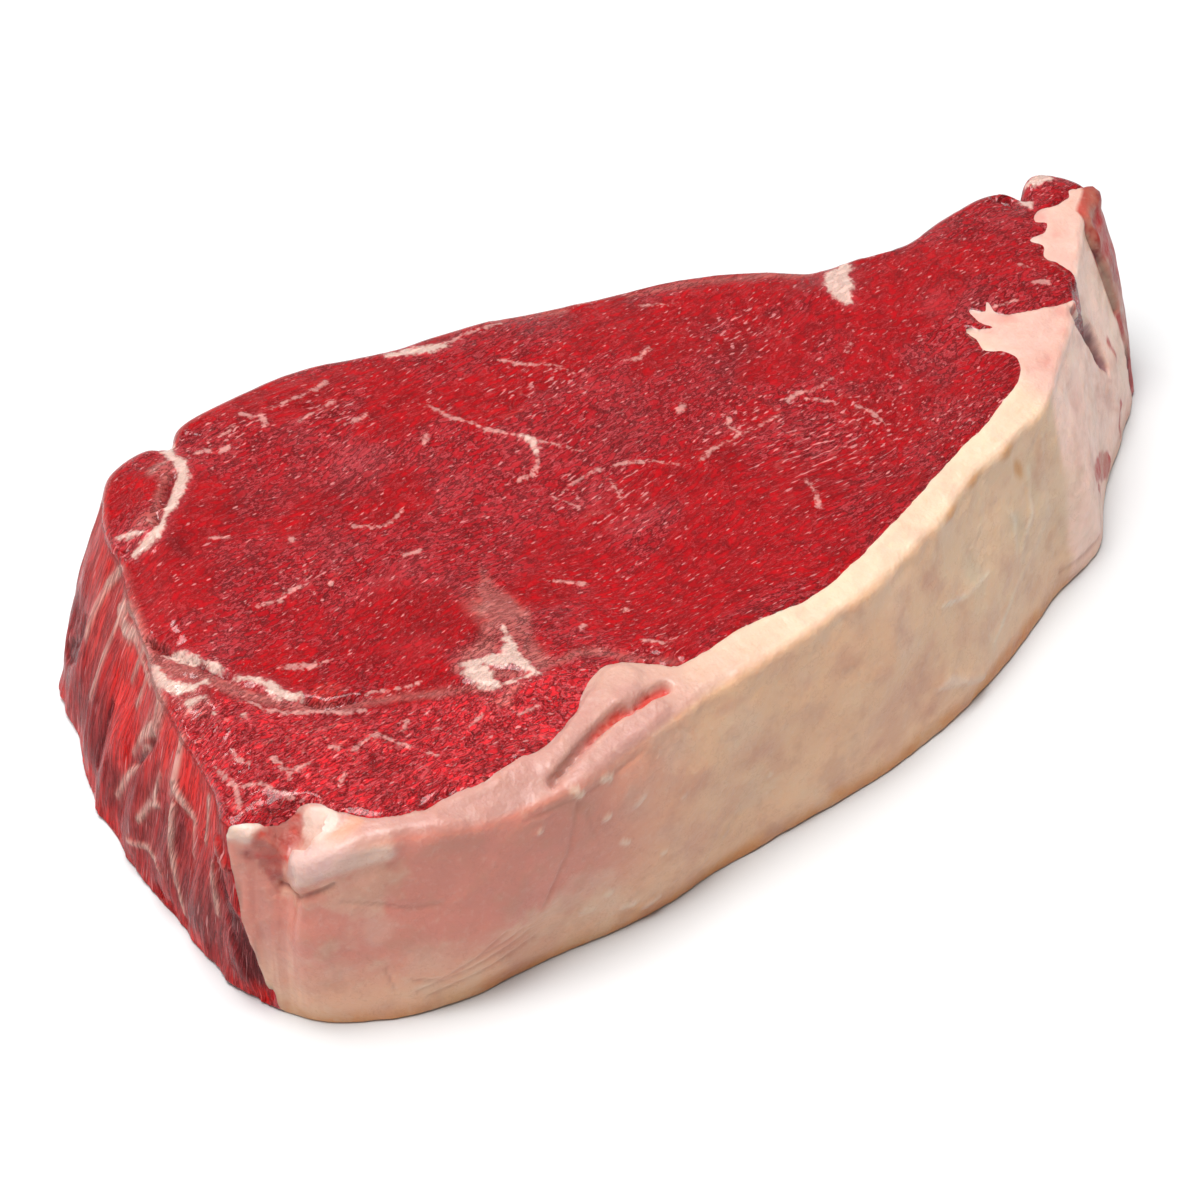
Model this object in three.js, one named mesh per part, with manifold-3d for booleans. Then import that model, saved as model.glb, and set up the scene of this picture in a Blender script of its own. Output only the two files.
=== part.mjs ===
// A raw boneless strip steak lying on its cut face, cut thick across the loin.
// Millimetres, +Z up. The steak lies on z = 0, long along X, its tail at +X and its cap of fat
// along the -Y side. The origin is the middle of its footprint.
import * as THREE from 'three';
import { mergeVertices } from 'three/addons/utils/BufferGeometryUtils.js';
import Module from 'manifold-3d';

const wasm = await Module();
wasm.setup();

// Driving sizes
const THICKNESS = 38; // from the board to the cut face
const RIM_ROUND = 2; // how far the cut face rolls over into the sides
const FOOT_ROUND = 2.5; // the same where the sides meet the board
const BULGE = 1.4; // how far the sides belly out at half height
const FALL_WIDTH = 8; // how far in from the rim the cut face starts to fall away
const TOP_SWELL = 0.5; // gentle hills of the cut face
const TOP_SWELL_LENGTH = 21;
const STRAND_DEPTH = 0.9; // the muscle's coarse strands down the left side
const STRAND_WIDTH = 11;
const STRAND_LEAN = 7; // how far a strand wanders sideways over the full height
const FOLD_DEPTH = 0.5; // soft waves down the side of the fat
const FOLD_WIDTH = 34;
const SEAM_GAP = 0.3; // between the lean and the fat
const COLUMNS = 150; // round the outline
const WALL_LEVELS = 6; // up the sides, between foot and rim
const INSETS = [0.12, 0.3, 0.55, 0.78]; // rings of a face, from its rim (0) to its spine (1)
const CORE_INSET = 0.93; // the last ring, which one flat patch fills

// The outline, clockwise from above, from the far left corner. Each row holds the rim of the cut
// face (x, y), how far the rim lies below the cut face, and how far the foot stands out (dx, dy).
const OUTLINE = [
  // top end of the thin side muscle, and the seam beside it
  [-72.5, 46.8, 1.5, -9, 2.5], [-68, 50.2, 1, -4.5, 1], [-61, 50.8, 1, -1, 0.2],
  [-57.6, 49.2, 2, 0, 1.5],
  // long back edge of the eye
  [-54.5, 51.2, 0.5, 0, 0.2], [-43.5, 51.2, 0.5, 0.3, 0.4], [-31.5, 49.2, 0.5, 0.8, 1.5],
  [-17, 43.6, 0.5, 1, 2], [-3, 39.8, 0.5, 1, 2], [11.8, 33, 0.5, 1.2, 2.5],
  [32, 24, 0.5, 1.3, 2.5], [40, 18.4, 0.5, 1.5, 2], [47.5, 12.6, 1, 1.3, 2.5],
  // the tail, with a nick in it
  [55, 10.6, 0.5, 0.5, 2.5], [62.5, 7.9, 0.5, 0.5, 3], [73, 9, 0.5, 0, 3],
  [84, 7.4, 0.5, 1, 2], [86.6, 5, 2.5, 2, 2], [91, 6.6, 0.5, 3, 0.5],
  [95.6, 3.4, 1, 5.5, -3], [96.4, -1.7, 1, 5.5, -6.5],
  // the end wall, which leans out towards its foot
  [88.6, -8.2, 1, 7, -8.6], [79.2, -16, 1, 7.4, -6.2], [71.2, -22.6, 1, 8.4, -4.4],
  [60.6, -30, 1, 11.2, -2.2], [51.4, -36.2, 1, 12, -2.4],
  // the long side of the fat
  [41.8, -38.2, 1, 8.4, -4], [31.4, -39.9, 1, 4.4, -7], [18, -44.2, 1, 1.5, -6.1],
  [4, -47.1, 1, 0.6, -5.1], [-15, -48.6, 1, 0, -2.5], [-31, -48.4, 1, 0, -2],
  [-42.6, -48.8, 1.2, 0, -1], [-55, -48.8, 2.2, -1, 1], [-64.5, -47.4, 2.5, -1.2, 1.4],
  [-74.5, -45, 2.5, -1.5, 0.4],
  // the low corner, where the cut face slopes down between two ridges
  [-86.7, -39.6, 1, -0.8, -0.6], [-94, -36, 2.5, 0.6, -0.2], [-97.8, -32.6, 5.5, 0.6, 0.4],
  [-97, -29, 7.5, -1.6, -0.2], [-98.8, -26.3, 3, -0.8, -0.4], [-102.2, -21.8, 1.2, 1.6, -0.8],
  // the left side, all muscle, which spreads as it meets the board
  [-99, -14.2, 2, -2, 0.6], [-96.3, -5.5, 2, -3.6, 0.8], [-92.9, 5, 2, -5.6, 1.2],
  [-89.2, 13.5, 2, -7.6, 1.2], [-84.3, 24, 2, -9.6, 1.2], [-79.4, 33.5, 2, -10.6, 0],
  [-77.8, 38.8, 2, -8.6, 1.2],
];

// Where the lean stops and the fat begins, from the left side round to the tail: x, y on the cut
// face, and the shift (dx, dy) of the same seam on the underside.
const SEAM = [
  [-114, -19, 3, -3], [-102.4, -22, 3.4, -2.6], [-97.6, -24.8, 2.6, -3.5], [-92, -26.3, 1, -5],
  [-89.4, -30.4, 1, -4], [-86, -34.9, 1, -2.5], [-82.5, -37, 1, -1], [-78.5, -38.5, 1, 0.5],
  [-70, -40, 0, 1.5], [-61, -40.3, 0, 1], [-52, -38.8, 0, -1], [-46.5, -35.6, 0, -2.5],
  [-42.5, -33.9, 0, -4], [-39.8, -34.5, 0, -4], [-35.5, -38, 0, -3.5], [-32.5, -41, 0, -2],
  [-20, -41.4, 0, -2], [-8, -42.9, 0, -1.5], [10, -40, 0.5, -3.5], [30, -34.8, 1, -4.5],
  [46, -30.8, 4, -4], [52.6, -27.6, 6, -3.5], [54.2, -24.8, 6, -2.5],
  [52.2, -20.4, 5, -2], [53.4, -14.8, 5, -2], [56.8, -15.4, 5, -2], [57.6, -11.8, 5, -2],
  [60.4, -15.6, 5, -2.5], [65.6, -19.2, 5.5, -3], [70.6, -20.2, 5.5, -3.5], [74, -18.6, 6, -4],
  [76, -15.2, 6, -4.5], [76.3, -10.4, 6, -4.5], [80.4, -5.6, 6, -4.5], [83.5, -1.8, 6, -4.5],
  [88, -2.4, 6.5, -5], [92.6, -1.2, 6, -4.5], [113, -8, 0, 6],
];

// The middle line of both faces, which every ring closes in on.
const SPINE = [[-62, 2], [-40, 1], [0, -5], [40, -11], [62, -12], [80, -4.5], [88, -1]];

const materials = {
  lean: new THREE.MeshStandardMaterial({ color: 0xb01c26, roughness: 0.32, metalness: 0 }),
  fat_cap: new THREE.MeshStandardMaterial({ color: 0xdcbfa6, roughness: 0.42, metalness: 0 }),
};

function spineAt(x) {
  const held = THREE.MathUtils.clamp(x, SPINE[0][0], SPINE.at(-1)[0]);
  const next = Math.max(1, SPINE.findIndex(([end]) => held <= end));
  const [[x0, y0], [x1, y1]] = [SPINE[next - 1], SPINE[next]];
  return new THREE.Vector2(held, THREE.MathUtils.mapLinear(held, x0, x1, y0, y1));
}

// Evenly spaced columns round the steak, each with its rim, foot and outward direction.
function outlineColumns() {
  const closed = (points) => new THREE.CatmullRomCurve3(points, true, 'centripetal');
  const rim = closed(OUTLINE.map(([x, y, drop]) => new THREE.Vector3(x, y, drop)));
  const foot = closed(OUTLINE.map(([x, y, , dx, dy]) => new THREE.Vector3(x + dx, y + dy, 0)));
  const around = rim.getLength();
  return Array.from({ length: COLUMNS }, (_, i) => {
    const along = i / COLUMNS;
    const t = rim.getUtoTmapping(along);
    const top = rim.getPoint(t);
    const tangent = foot.getTangent(t);
    const out = new THREE.Vector2(-tangent.y, tangent.x).normalize();
    return { rim: top, foot: foot.getPoint(t), drop: top.z, out, along: along * around };
  });
}

// How far the side stands out at a height (0 foot, 1 rim): belly, strands and soft folds.
function sideRelief({ rim, along }, height) {
  const smooth = THREE.MathUtils.smoothstep;
  const muscle = smooth(-rim.x, 70, 80) * smooth(rim.y, -26, -18);
  const fat = (1 - muscle) * smooth(-rim.y, 0, 20);
  const belly = BULGE * Math.sin(Math.PI * height);
  const strand = Math.sin((2 * Math.PI * (along + STRAND_LEAN * height)) / STRAND_WIDTH);
  const fold = Math.sin((2 * Math.PI * along) / FOLD_WIDTH + 3 * height);
  const ends = Math.sin(Math.PI * THREE.MathUtils.clamp(height + 0.15, 0, 1));
  return belly + ends * (muscle * STRAND_DEPTH * strand + fat * FOLD_DEPTH * fold);
}

function topHeight(x, y) {
  const [a, b] = [x / TOP_SWELL_LENGTH, y / TOP_SWELL_LENGTH];
  return THICKNESS + TOP_SWELL * Math.sin(a + 0.6) * Math.cos(1.3 * b - a / 2);
}

// A point of the cut face, inset from the rim (0) towards the spine (1).
function topPoint({ rim, drop }, inset) {
  const edge = new THREE.Vector2(rim.x, rim.y);
  const spot = edge.clone().lerp(spineAt(rim.x), inset);
  const reach = Math.min(FALL_WIDTH, edge.distanceTo(spineAt(rim.x)));
  const fall = 1 - THREE.MathUtils.smoothstep(edge.distanceTo(spot), 0, reach);
  return new THREE.Vector3(spot.x, spot.y, topHeight(spot.x, spot.y) - drop * fall);
}

function sidePoint(column, height) {
  const { rim, foot, out } = column;
  const lip = topPoint(column, 0).z - RIM_ROUND;
  const spot = new THREE.Vector2(foot.x, foot.y).lerp(new THREE.Vector2(rim.x, rim.y), height);
  spot.addScaledVector(out, sideRelief(column, height));
  return new THREE.Vector3(spot.x, spot.y, THREE.MathUtils.lerp(FOOT_ROUND, lip, height));
}

function basePoint({ rim, foot }, inset) {
  const spot = new THREE.Vector2(foot.x, foot.y).lerp(spineAt(rim.x), inset);
  return new THREE.Vector3(spot.x, spot.y, 0);
}

// A point partly round the quarter circle between a side's end and a face's edge.
function roundedEdge(side, face, share) {
  const corner = new THREE.Vector3(side.x, side.y, face.z);
  const curve = new THREE.QuadraticBezierCurve3(side, corner, face);
  return curve.getPoint(share);
}

// One column of the skin, from the middle of the cut face, down the side, to under the middle.
function skinColumn(column) {
  const reach = new THREE.Vector2(column.rim.x, column.rim.y).distanceTo(spineAt(column.rim.x));
  const lip = topPoint(column, RIM_ROUND / reach);
  const shoulder = sidePoint(column, 1);
  const ankle = sidePoint(column, 0);
  const sole = basePoint(column, FOOT_ROUND / reach);
  const inwards = [...INSETS, CORE_INSET];
  const heights = Array.from({ length: WALL_LEVELS + 1 }, (_, i) => 1 - i / WALL_LEVELS);
  return [
    ...inwards.toReversed().map((inset) => topPoint(column, inset)),
    lip,
    roundedEdge(shoulder, lip, 0.5),
    ...heights.map((height) => sidePoint(column, height)),
    roundedEdge(ankle, sole, 0.5),
    sole,
    ...inwards.map((inset) => basePoint(column, inset)),
  ];
}

// The flat patch that fills a ring, as triangles of the ring's own indices, facing up.
function patch(ring) {
  return THREE.ShapeUtils.triangulateShape(ring.map(({ x, y }) => new THREE.Vector2(x, y)), []);
}

// A closed geometry from rings of equal length, which run clockwise from above, top ring first.
function ringsGeometry(rings) {
  const count = rings[0].length;
  const index = [];
  for (let level = 0; level + 1 < rings.length; level++) {
    for (let i = 0; i < count; i++) {
      const [a, b] = [level * count + i, level * count + ((i + 1) % count)];
      index.push(a, b, b + count, a, b + count, a + count);
    }
  }
  const facesUp = ([a, b, c], ring) => {
    const [u, v] = [ring[b].clone().sub(ring[a]), ring[c].clone().sub(ring[a])];
    return u.x * v.y - u.y * v.x > 0;
  };
  const addPatch = (ring, first, up) => {
    for (const face of patch(ring)) {
      const turned = facesUp(face, ring) === up ? face : face.toReversed();
      index.push(...turned.map((i) => first + i));
    }
  };
  addPatch(rings[0], 0, true);
  addPatch(rings.at(-1), (rings.length - 1) * count, false);
  const geometry = new THREE.BufferGeometry().setFromPoints(rings.flat());
  geometry.setIndex(index);
  return geometry;
}

function steakGeometry() {
  const columns = outlineColumns().map(skinColumn);
  return ringsGeometry(columns[0].map((_, level) => columns.map((column) => column[level])));
}

// The block that holds all the lean: everything behind the seam, grown by a distance.
function leanBlockGeometry(grow) {
  const behind = [[114, 70], [-114, 70]];
  const above = [...SEAM.map(([x, y]) => [x, y]), ...behind];
  const below = [...SEAM.map(([x, y, dx, dy]) => [x + dx, y + dy]), ...behind];
  const [low, high] = [-1, THICKNESS + 3];
  const ring = (outline, z) => outline.map(([x, y], i) => {
    const [before, after] = [outline.at(i - 1), outline[(i + 1) % outline.length]];
    const side = new THREE.Vector2(after[1] - before[1], before[0] - after[0]).setLength(grow);
    return new THREE.Vector3(x + side.x, y + side.y, z);
  });
  return ringsGeometry([ring(above, high).toReversed(), ring(below, low).toReversed()]);
}

function toManifold(geometry) {
  const merged = mergeVertices(geometry, 1e-4);
  return new wasm.Manifold(new wasm.Mesh({
    numProp: 3,
    vertProperties: new Float32Array(merged.attributes.position.array),
    triVerts: new Uint32Array(merged.index.array),
  }));
}

function toGeometry(solid) {
  const { vertProperties, triVerts } = solid.getMesh();
  const geometry = new THREE.BufferGeometry();
  geometry.setAttribute('position', new THREE.BufferAttribute(vertProperties, 3));
  geometry.setIndex(new THREE.BufferAttribute(triVerts, 1));
  geometry.computeVertexNormals();
  return geometry;
}

function part(name, solid) {
  const mesh = new THREE.Mesh(toGeometry(solid), materials[name]);
  mesh.name = name;
  return mesh;
}

const whole = toManifold(steakGeometry());
const lean = whole.intersect(toManifold(leanBlockGeometry(0)));
const fatCap = whole.subtract(toManifold(leanBlockGeometry(SEAM_GAP)));

const steak = new THREE.Group();
steak.name = 'steak';
steak.add(part('lean', lean), part('fat_cap', fatCap));

export default steak;
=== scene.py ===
# A raw boneless strip steak: the lean with its side muscle, kernel and marbling, and its cap of fat.
# Shapes are worked out in millimetres, in the frame's own axes, and written in metres.
import itertools
import math
from collections import namedtuple

import bmesh
import bpy
import numpy as np
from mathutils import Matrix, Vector, geometry, kdtree


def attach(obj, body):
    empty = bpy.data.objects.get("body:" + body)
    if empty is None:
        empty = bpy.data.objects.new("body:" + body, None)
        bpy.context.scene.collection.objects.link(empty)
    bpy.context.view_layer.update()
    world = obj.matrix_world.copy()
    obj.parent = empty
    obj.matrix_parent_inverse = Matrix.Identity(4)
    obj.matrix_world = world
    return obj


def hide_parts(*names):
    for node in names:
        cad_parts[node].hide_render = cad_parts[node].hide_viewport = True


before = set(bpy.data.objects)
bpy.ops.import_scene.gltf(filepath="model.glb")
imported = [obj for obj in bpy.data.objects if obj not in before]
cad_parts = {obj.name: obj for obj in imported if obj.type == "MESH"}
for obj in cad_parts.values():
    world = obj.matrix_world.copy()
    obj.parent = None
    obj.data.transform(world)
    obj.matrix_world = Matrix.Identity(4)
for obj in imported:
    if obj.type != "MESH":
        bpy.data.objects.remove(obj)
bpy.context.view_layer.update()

MM = 0.001  # metres

# ------------------------------------------------------------------ camera
CAMERA_AZIMUTH = math.radians(-42)
CAMERA_ELEVATION = math.radians(43)
CAMERA_DISTANCE = 690  # from the target, which is at the middle of the picture
CAMERA_TARGET = Vector((-18.5, -8, 19))
CAMERA_LENS = 132.9
SENSOR = 36


def make_camera():
    back = Vector((
        math.sin(CAMERA_AZIMUTH) * math.cos(CAMERA_ELEVATION),
        -math.cos(CAMERA_AZIMUTH) * math.cos(CAMERA_ELEVATION),
        math.sin(CAMERA_ELEVATION),
    ))
    data = bpy.data.cameras.new("camera")
    data.lens = CAMERA_LENS
    data.sensor_width = SENSOR
    camera = bpy.data.objects.new("camera", data)
    camera.location = (CAMERA_TARGET + back * CAMERA_DISTANCE) * MM
    camera.rotation_euler = back.to_track_quat("Z", "Y").to_euler()
    bpy.context.scene.collection.objects.link(camera)
    bpy.context.scene.camera = camera


make_camera()

# ------------------------------------------------------------------ the frame's form
THICKNESS = 38  # from the board to the cut face
RIM_ROUND = 2  # how far the cut face rolls over into the sides
FOOT_ROUND = 0.9
BULGE = 1.4  # how far the sides belly out at half height
FALL_WIDTH = 8  # how far in from the rim the cut face starts to fall away
TOP_SWELL = 0.5  # how far the cut face rises and dips
TOP_SWELL_LENGTH = 21
STRAND_DEPTH = 0.6  # the upright strands of the left side
STRAND_WIDTH = 11
STRAND_LEAN = 7  # how far a strand shifts along the side from the foot to the rim
FOLD_DEPTH = 0.5  # the soft folds of the fat side
FOLD_WIDTH = 34

# The outline, clockwise from above, from the far left corner. Each row holds the rim of the cut
# face (x, y), how far the rim lies below the cut face, and how far the foot stands out (dx, dy).
OUTLINE = np.array([
    # top end of the thin side muscle, and the seam beside it
    [-72.5, 46.8, 1.5, -9, 2.5], [-68, 50.2, 1, -4.5, 1], [-61, 50.8, 1, -1, 0.2],
    [-57.6, 49.2, 2, 0, 1.5],
    # long back edge of the eye
    [-54.5, 51.2, 0.5, 0, 0.2], [-43.5, 51.2, 0.5, 0.3, 0.4], [-31.5, 49.2, 0.5, 0.8, 1.5],
    [-17, 43.6, 0.5, 1, 2], [-3, 39.8, 0.5, 1, 2], [11.8, 33, 0.5, 1.2, 2.5],
    [32, 24, 0.5, 1.3, 2.5], [40, 18.4, 0.5, 1.5, 2], [47.5, 12.6, 1, 1.3, 2.5],
    # the tail, with a nick in it
    [55, 10.6, 0.5, 0.5, 2.5], [62.5, 7.9, 0.5, 0.5, 3], [73, 9, 0.5, 0, 3],
    [84, 7.4, 0.5, 1, 2], [86.6, 5, 2.5, 2, 2], [91, 6.6, 0.5, 3, 0.5],
    [95.6, 3.4, 1, 5.5, -3], [96.4, -1.7, 1, 5.5, -6.5],
    # the end wall, which leans out towards its foot
    [88.6, -8.2, 1, 7, -8.6], [79.2, -16, 1, 7.4, -6.2], [71.2, -22.6, 1, 8.4, -4.4],
    [60.6, -30, 1, 11.2, -2.2], [51.4, -36.2, 1, 12, -2.4],
    # the long side of the fat
    [41.8, -38.2, 1, 8.4, -4], [31.4, -39.9, 1, 4.4, -7], [18, -44.2, 1, 1.5, -6.1],
    [4, -47.1, 1, 0.6, -5.1], [-15, -48.6, 1, 0, -2.5], [-31, -48.4, 1, 0, -2],
    [-42.6, -48.8, 1.2, 0, -1], [-55, -48.8, 2.2, -1, 1], [-64.5, -47.4, 2.5, -1.2, 1.4],
    [-74.5, -45, 2.5, -1.5, 0.4],
    # the low corner, where the cut face slopes down between two ridges
    [-86.7, -39.6, 1, -0.8, -0.6], [-94, -36, 2.5, 0.6, -0.2], [-97.8, -32.6, 5.5, 0.6, 0.4],
    [-97, -29, 7.5, -1.6, -0.2], [-98.8, -26.3, 3, -0.8, -0.4], [-102.2, -21.8, 1.2, 1.6, -0.8],
    # the left side, all muscle, which spreads as it meets the board
    [-99, -14.2, 2, -2, 0.6], [-96.3, -5.5, 2, -3.6, 0.8], [-92.9, 5, 2, -5.6, 1.2],
    [-89.2, 13.5, 2, -7.6, 1.2], [-84.3, 24, 2, -9.6, 1.2], [-79.4, 33.5, 2, -10.6, 0],
    [-77.8, 38.8, 2, -8.6, 1.2],
])

# Where the lean stops and the fat begins, from the left side round to the tail: x, y on the cut
# face, and the shift (dx, dy) of the same seam on the underside.
SEAM = np.array([
    [-114, -18, 3, -8], [-102, -21, 2.2, -6.6], [-99.8, -22.6, 3, -6.2], [-97.2, -23.5, 2.6, -6],
    # over the low corner and along the side muscle
    [-94.6, -24, 1.5, -6], [-91.9, -25.1, 1, -5.6], [-90.3, -27, 1, -4.8], [-89.6, -29.8, 1, -4],
    [-88.2, -32, 1, -3], [-86.3, -34.8, 1, -2.5], [-82.8, -36.9, 1, -1], [-78.6, -38.5, 1, 0.5],
    [-73.5, -39.1, 0.5, 1], [-70.4, -40, 0, 1.5], [-66.6, -39.9, 0, 1.2], [-62.8, -40, 0, 1],
    [-58.4, -40.4, 0, 0.5], [-54, -39.4, 0, -0.5], [-50.6, -38.2, 0, -1.5],
    # round the fold of fat that reaches in to the kernel
    [-46.7, -35.6, 0, -2.5], [-42.8, -33.9, 0, -4], [-39.9, -34.4, 0, -4], [-35.6, -37.9, 0, -3.5],
    [-33.6, -40.6, 0, -2.5], [-30.7, -41.4, 0, -2],
    # the long clean edge of the eye
    [-20, -41.3, 0, -2], [-8, -43, 0, -1.5], [0, -42.2, 0.2, -2.3], [10, -40, 0.5, -3.5],
    [20, -37.6, 0.7, -4], [30, -34.8, 1, -4.5], [40, -32.6, 2.5, -4.2], [46, -30.8, 4, -4],
    [50, -29.4, 5, -3.8], [53, -27.5, 6, -3.5], [54.5, -24.8, 6, -2.5],
    # ragged tongues between the eye and the tail
    [53.8, -22.4, 5.6, -2.3], [52.1, -20.4, 5, -2], [53.3, -17.3, 5, -2], [53.7, -14.6, 5, -2],
    [55.4, -16.2, 5, -2], [57.4, -17.2, 5, -2], [56.8, -15.2, 5, -2], [57.5, -11.7, 5, -2],
    [59, -13.6, 5, -2], [60.9, -12.3, 5, -2], [60.3, -15.6, 5, -2.5], [64, -18.5, 5.3, -2.8],
    [69.4, -20.1, 5.5, -3.5], [72.5, -20.4, 6, -4], [76.1, -17.7, 6, -4.5], [77.4, -15.3, 6, -4.5],
    [77.1, -12.4, 6, -4.5], [76.4, -10, 6, -4.5], [78.3, -8, 6, -4.5], [77.8, -5.6, 6, -4.5],
    [81.1, -5.7, 6, -4.5], [83, -4.3, 6, -4.5], [82, -2.7, 6, -4.5], [84.4, -0.9, 6, -4.5],
    [88, -2.3, 6.5, -5], [91, -1.8, 6, -4.5], [92, -0.8, 6, -4], [93.8, -1, 6, -3.5],
    [113, -8, 0, 6],
])
SEAM_STEP = 0.5
BEHIND = np.array([[114, 70, 0, 0], [-114, 70, 0, 0]])  # corners of the block of lean, off the steak

# The middle line of both faces.
SPINE = np.array([[-62, 2], [-40, 1], [0, -5], [40, -11], [62, -12], [80, -4.5], [88, -1]])

# How fine the mesh is
COLUMN_STEP = 0.55  # between columns round the outline
WALL_LEVELS = 62
RIM_LEVELS = 5
TOP_GRID = 0.5
UNDER_GRID = 1.8

Columns = namedtuple("Columns", "rim drop foot out along around")
Skin = namedtuple("Skin", "points faces flat along")


def smooth(value, low, high):
    share = np.clip((value - low) / (high - low), 0, 1)
    return share * share * (3 - 2 * share)


def closed_curve(landmarks, times):
    """Points of the smooth closed curve through the landmarks, at times from 0 to 1."""
    place = np.asarray(times) % 1 * len(landmarks)
    first = place.astype(int)
    share = (place - first)[:, None]
    before, start, end, after = (landmarks[(first + step) % len(landmarks)] for step in (-1, 0, 1, 2))
    back, ahead, next_ahead = (
        np.sqrt(np.linalg.norm(b - a, axis=1))[:, None]
        for a, b in ((before, start), (start, end), (end, after))
    )
    leave = (start - before) / back - (end - before) / (back + ahead) + (end - start) / ahead
    arrive = (end - start) / ahead - (after - start) / (ahead + next_ahead) + (after - end) / next_ahead
    leave, arrive = leave * ahead, arrive * ahead
    square = 3 * (end - start) - 2 * leave - arrive
    cube = 2 * (start - end) + leave + arrive
    return start + share * (leave + share * (square + share * cube))


def outline_columns():
    """Evenly spaced columns round the steak, each with its rim, foot and outward direction."""
    rims, feet = OUTLINE[:, :3], OUTLINE[:, :2] + OUTLINE[:, 3:]
    fine = np.linspace(0, 1, 4001)
    steps = np.linalg.norm(np.diff(closed_curve(rims, fine), axis=0), axis=1)
    reached = np.concatenate([[0], np.cumsum(steps)])
    count = round(reached[-1] / COLUMN_STEP)
    along = np.arange(count) * reached[-1] / count
    times = np.interp(along, reached, fine)
    rim = closed_curve(rims, times)
    tangent = closed_curve(feet, times + 1e-4) - closed_curve(feet, times - 1e-4)
    out = np.column_stack([-tangent[:, 1], tangent[:, 0]])
    out /= np.linalg.norm(out, axis=1)[:, None]
    return Columns(rim[:, :2], rim[:, 2], closed_curve(feet, times), out, along, reached[-1])


def spine_at(x):
    held = np.clip(x, SPINE[0, 0], SPINE[-1, 0])
    return np.column_stack([held, np.interp(held, SPINE[:, 0], SPINE[:, 1])])


def top_height(points):
    across, deep = points[:, 0] / TOP_SWELL_LENGTH, points[:, 1] / TOP_SWELL_LENGTH
    return THICKNESS + TOP_SWELL * np.sin(across + 0.6) * np.cos(1.3 * deep - across / 2)


def side_relief(columns, height):
    """How far the side stands out at a height (0 foot, 1 rim): belly, strands and soft folds."""
    muscle = smooth(-columns.rim[:, 0], 70, 80) * smooth(columns.rim[:, 1], -26, -18)
    fat = (1 - muscle) * smooth(-columns.rim[:, 1], 0, 20)
    strand = np.sin(2 * math.pi * (columns.along + STRAND_LEAN * height) / STRAND_WIDTH)
    fold = np.sin(2 * math.pi * columns.along / FOLD_WIDTH + 3 * height)
    ends = math.sin(math.pi * min(1, height + 0.15))
    belly = BULGE * math.sin(math.pi * height)
    return belly + ends * (muscle * STRAND_DEPTH * strand + fat * FOLD_DEPTH * fold)


def side_ring(columns, height):
    lip = top_height(columns.rim) - columns.drop - RIM_ROUND
    spot = columns.foot + (columns.rim - columns.foot) * height
    spot = spot + columns.out * side_relief(columns, height)[:, None]
    return np.column_stack([spot, FOOT_ROUND + (lip - FOOT_ROUND) * height])


def rounded(side, face, share):
    """A ring partly round the quarter turn between the top or foot of a side and a face."""
    corner = np.column_stack([side[:, :2], face[:, 2]])
    return side * (1 - share) ** 2 + corner * 2 * share * (1 - share) + face * share ** 2


def inset_ring(edge, inwards, distance):
    step = inwards - edge
    return edge + step * (distance / np.linalg.norm(step, axis=1))[:, None]


def wall_rings(columns):
    """Rings from the lip of the cut face down to the sole, each with its flatness (1 on a face)."""
    spine = spine_at(columns.rim[:, 0])
    lip = inset_ring(columns.rim, spine, RIM_ROUND)
    fall = 1 - smooth(RIM_ROUND, 0, FALL_WIDTH)
    lip = np.column_stack([lip, top_height(lip) - columns.drop * fall])
    sole = inset_ring(columns.foot, spine, FOOT_ROUND)
    sole = np.column_stack([sole, np.zeros(len(sole))])
    shoulder, ankle = side_ring(columns, 1), side_ring(columns, 0)
    rings = [(lip, 1)]
    for level in range(RIM_LEVELS - 1, 0, -1):
        share = level / RIM_LEVELS
        rings.append((rounded(shoulder, lip, share), share))
    rings += [(side_ring(columns, 1 - level / WALL_LEVELS), 0) for level in range(WALL_LEVELS + 1)]
    for level in range(1, RIM_LEVELS):
        share = level / RIM_LEVELS
        rings.append((rounded(ankle, sole, share), -share))
    return rings + [(sole, -1)]


def nearest(points, samples):
    """For each point, the distance to the nearest sample and that sample's number."""
    tree = kdtree.KDTree(len(samples))
    for number, sample in enumerate(samples):
        tree.insert((*sample, 0)[:3], number)
    tree.balance()
    found = [tree.find((*point, 0)[:3]) for point in points]
    return np.array([apart for _, _, apart in found]), np.array([number for _, number, _ in found])


def filled(ring, step):
    """Fills a ring with a triangular grid: the points inside it, and triangles, ring first."""
    low, high = ring.min(axis=0), ring.max(axis=0)
    rows = np.arange(low[1], high[1], step * math.sqrt(3) / 2)
    across = np.arange(low[0], high[0], step)
    grid = np.array([(x + step / 2 * (i % 2), y) for i, y in enumerate(rows) for x in across])
    apart, _ = nearest(grid, ring)
    grid = grid[apart > step * 0.6]
    spots = [Vector(spot) for spot in np.vstack([ring, grid])]
    _, _, faces, sources, _, _ = geometry.delaunay_2d_cdt(spots, [], [list(range(len(ring)))], 1, 1e-6)
    faces = np.array([[sources[corner][0] for corner in face] for face in faces])
    used = np.unique(faces)
    inner = used[used >= len(ring)]
    place = np.zeros(len(spots), int)
    place[:len(ring)] = np.arange(len(ring))
    place[inner] = len(ring) + np.arange(len(inner))
    return grid[inner - len(ring)], place[faces]


def turned(points, faces, up):
    """The same triangles, all wound to face up or all down."""
    a, b, c = (points[faces[:, corner]] for corner in range(3))
    rising = np.cross(b[:, :2] - a[:, :2], c[:, :2] - a[:, :2]) > 0
    return np.where((rising == up)[:, None], faces, faces[:, ::-1])


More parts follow.
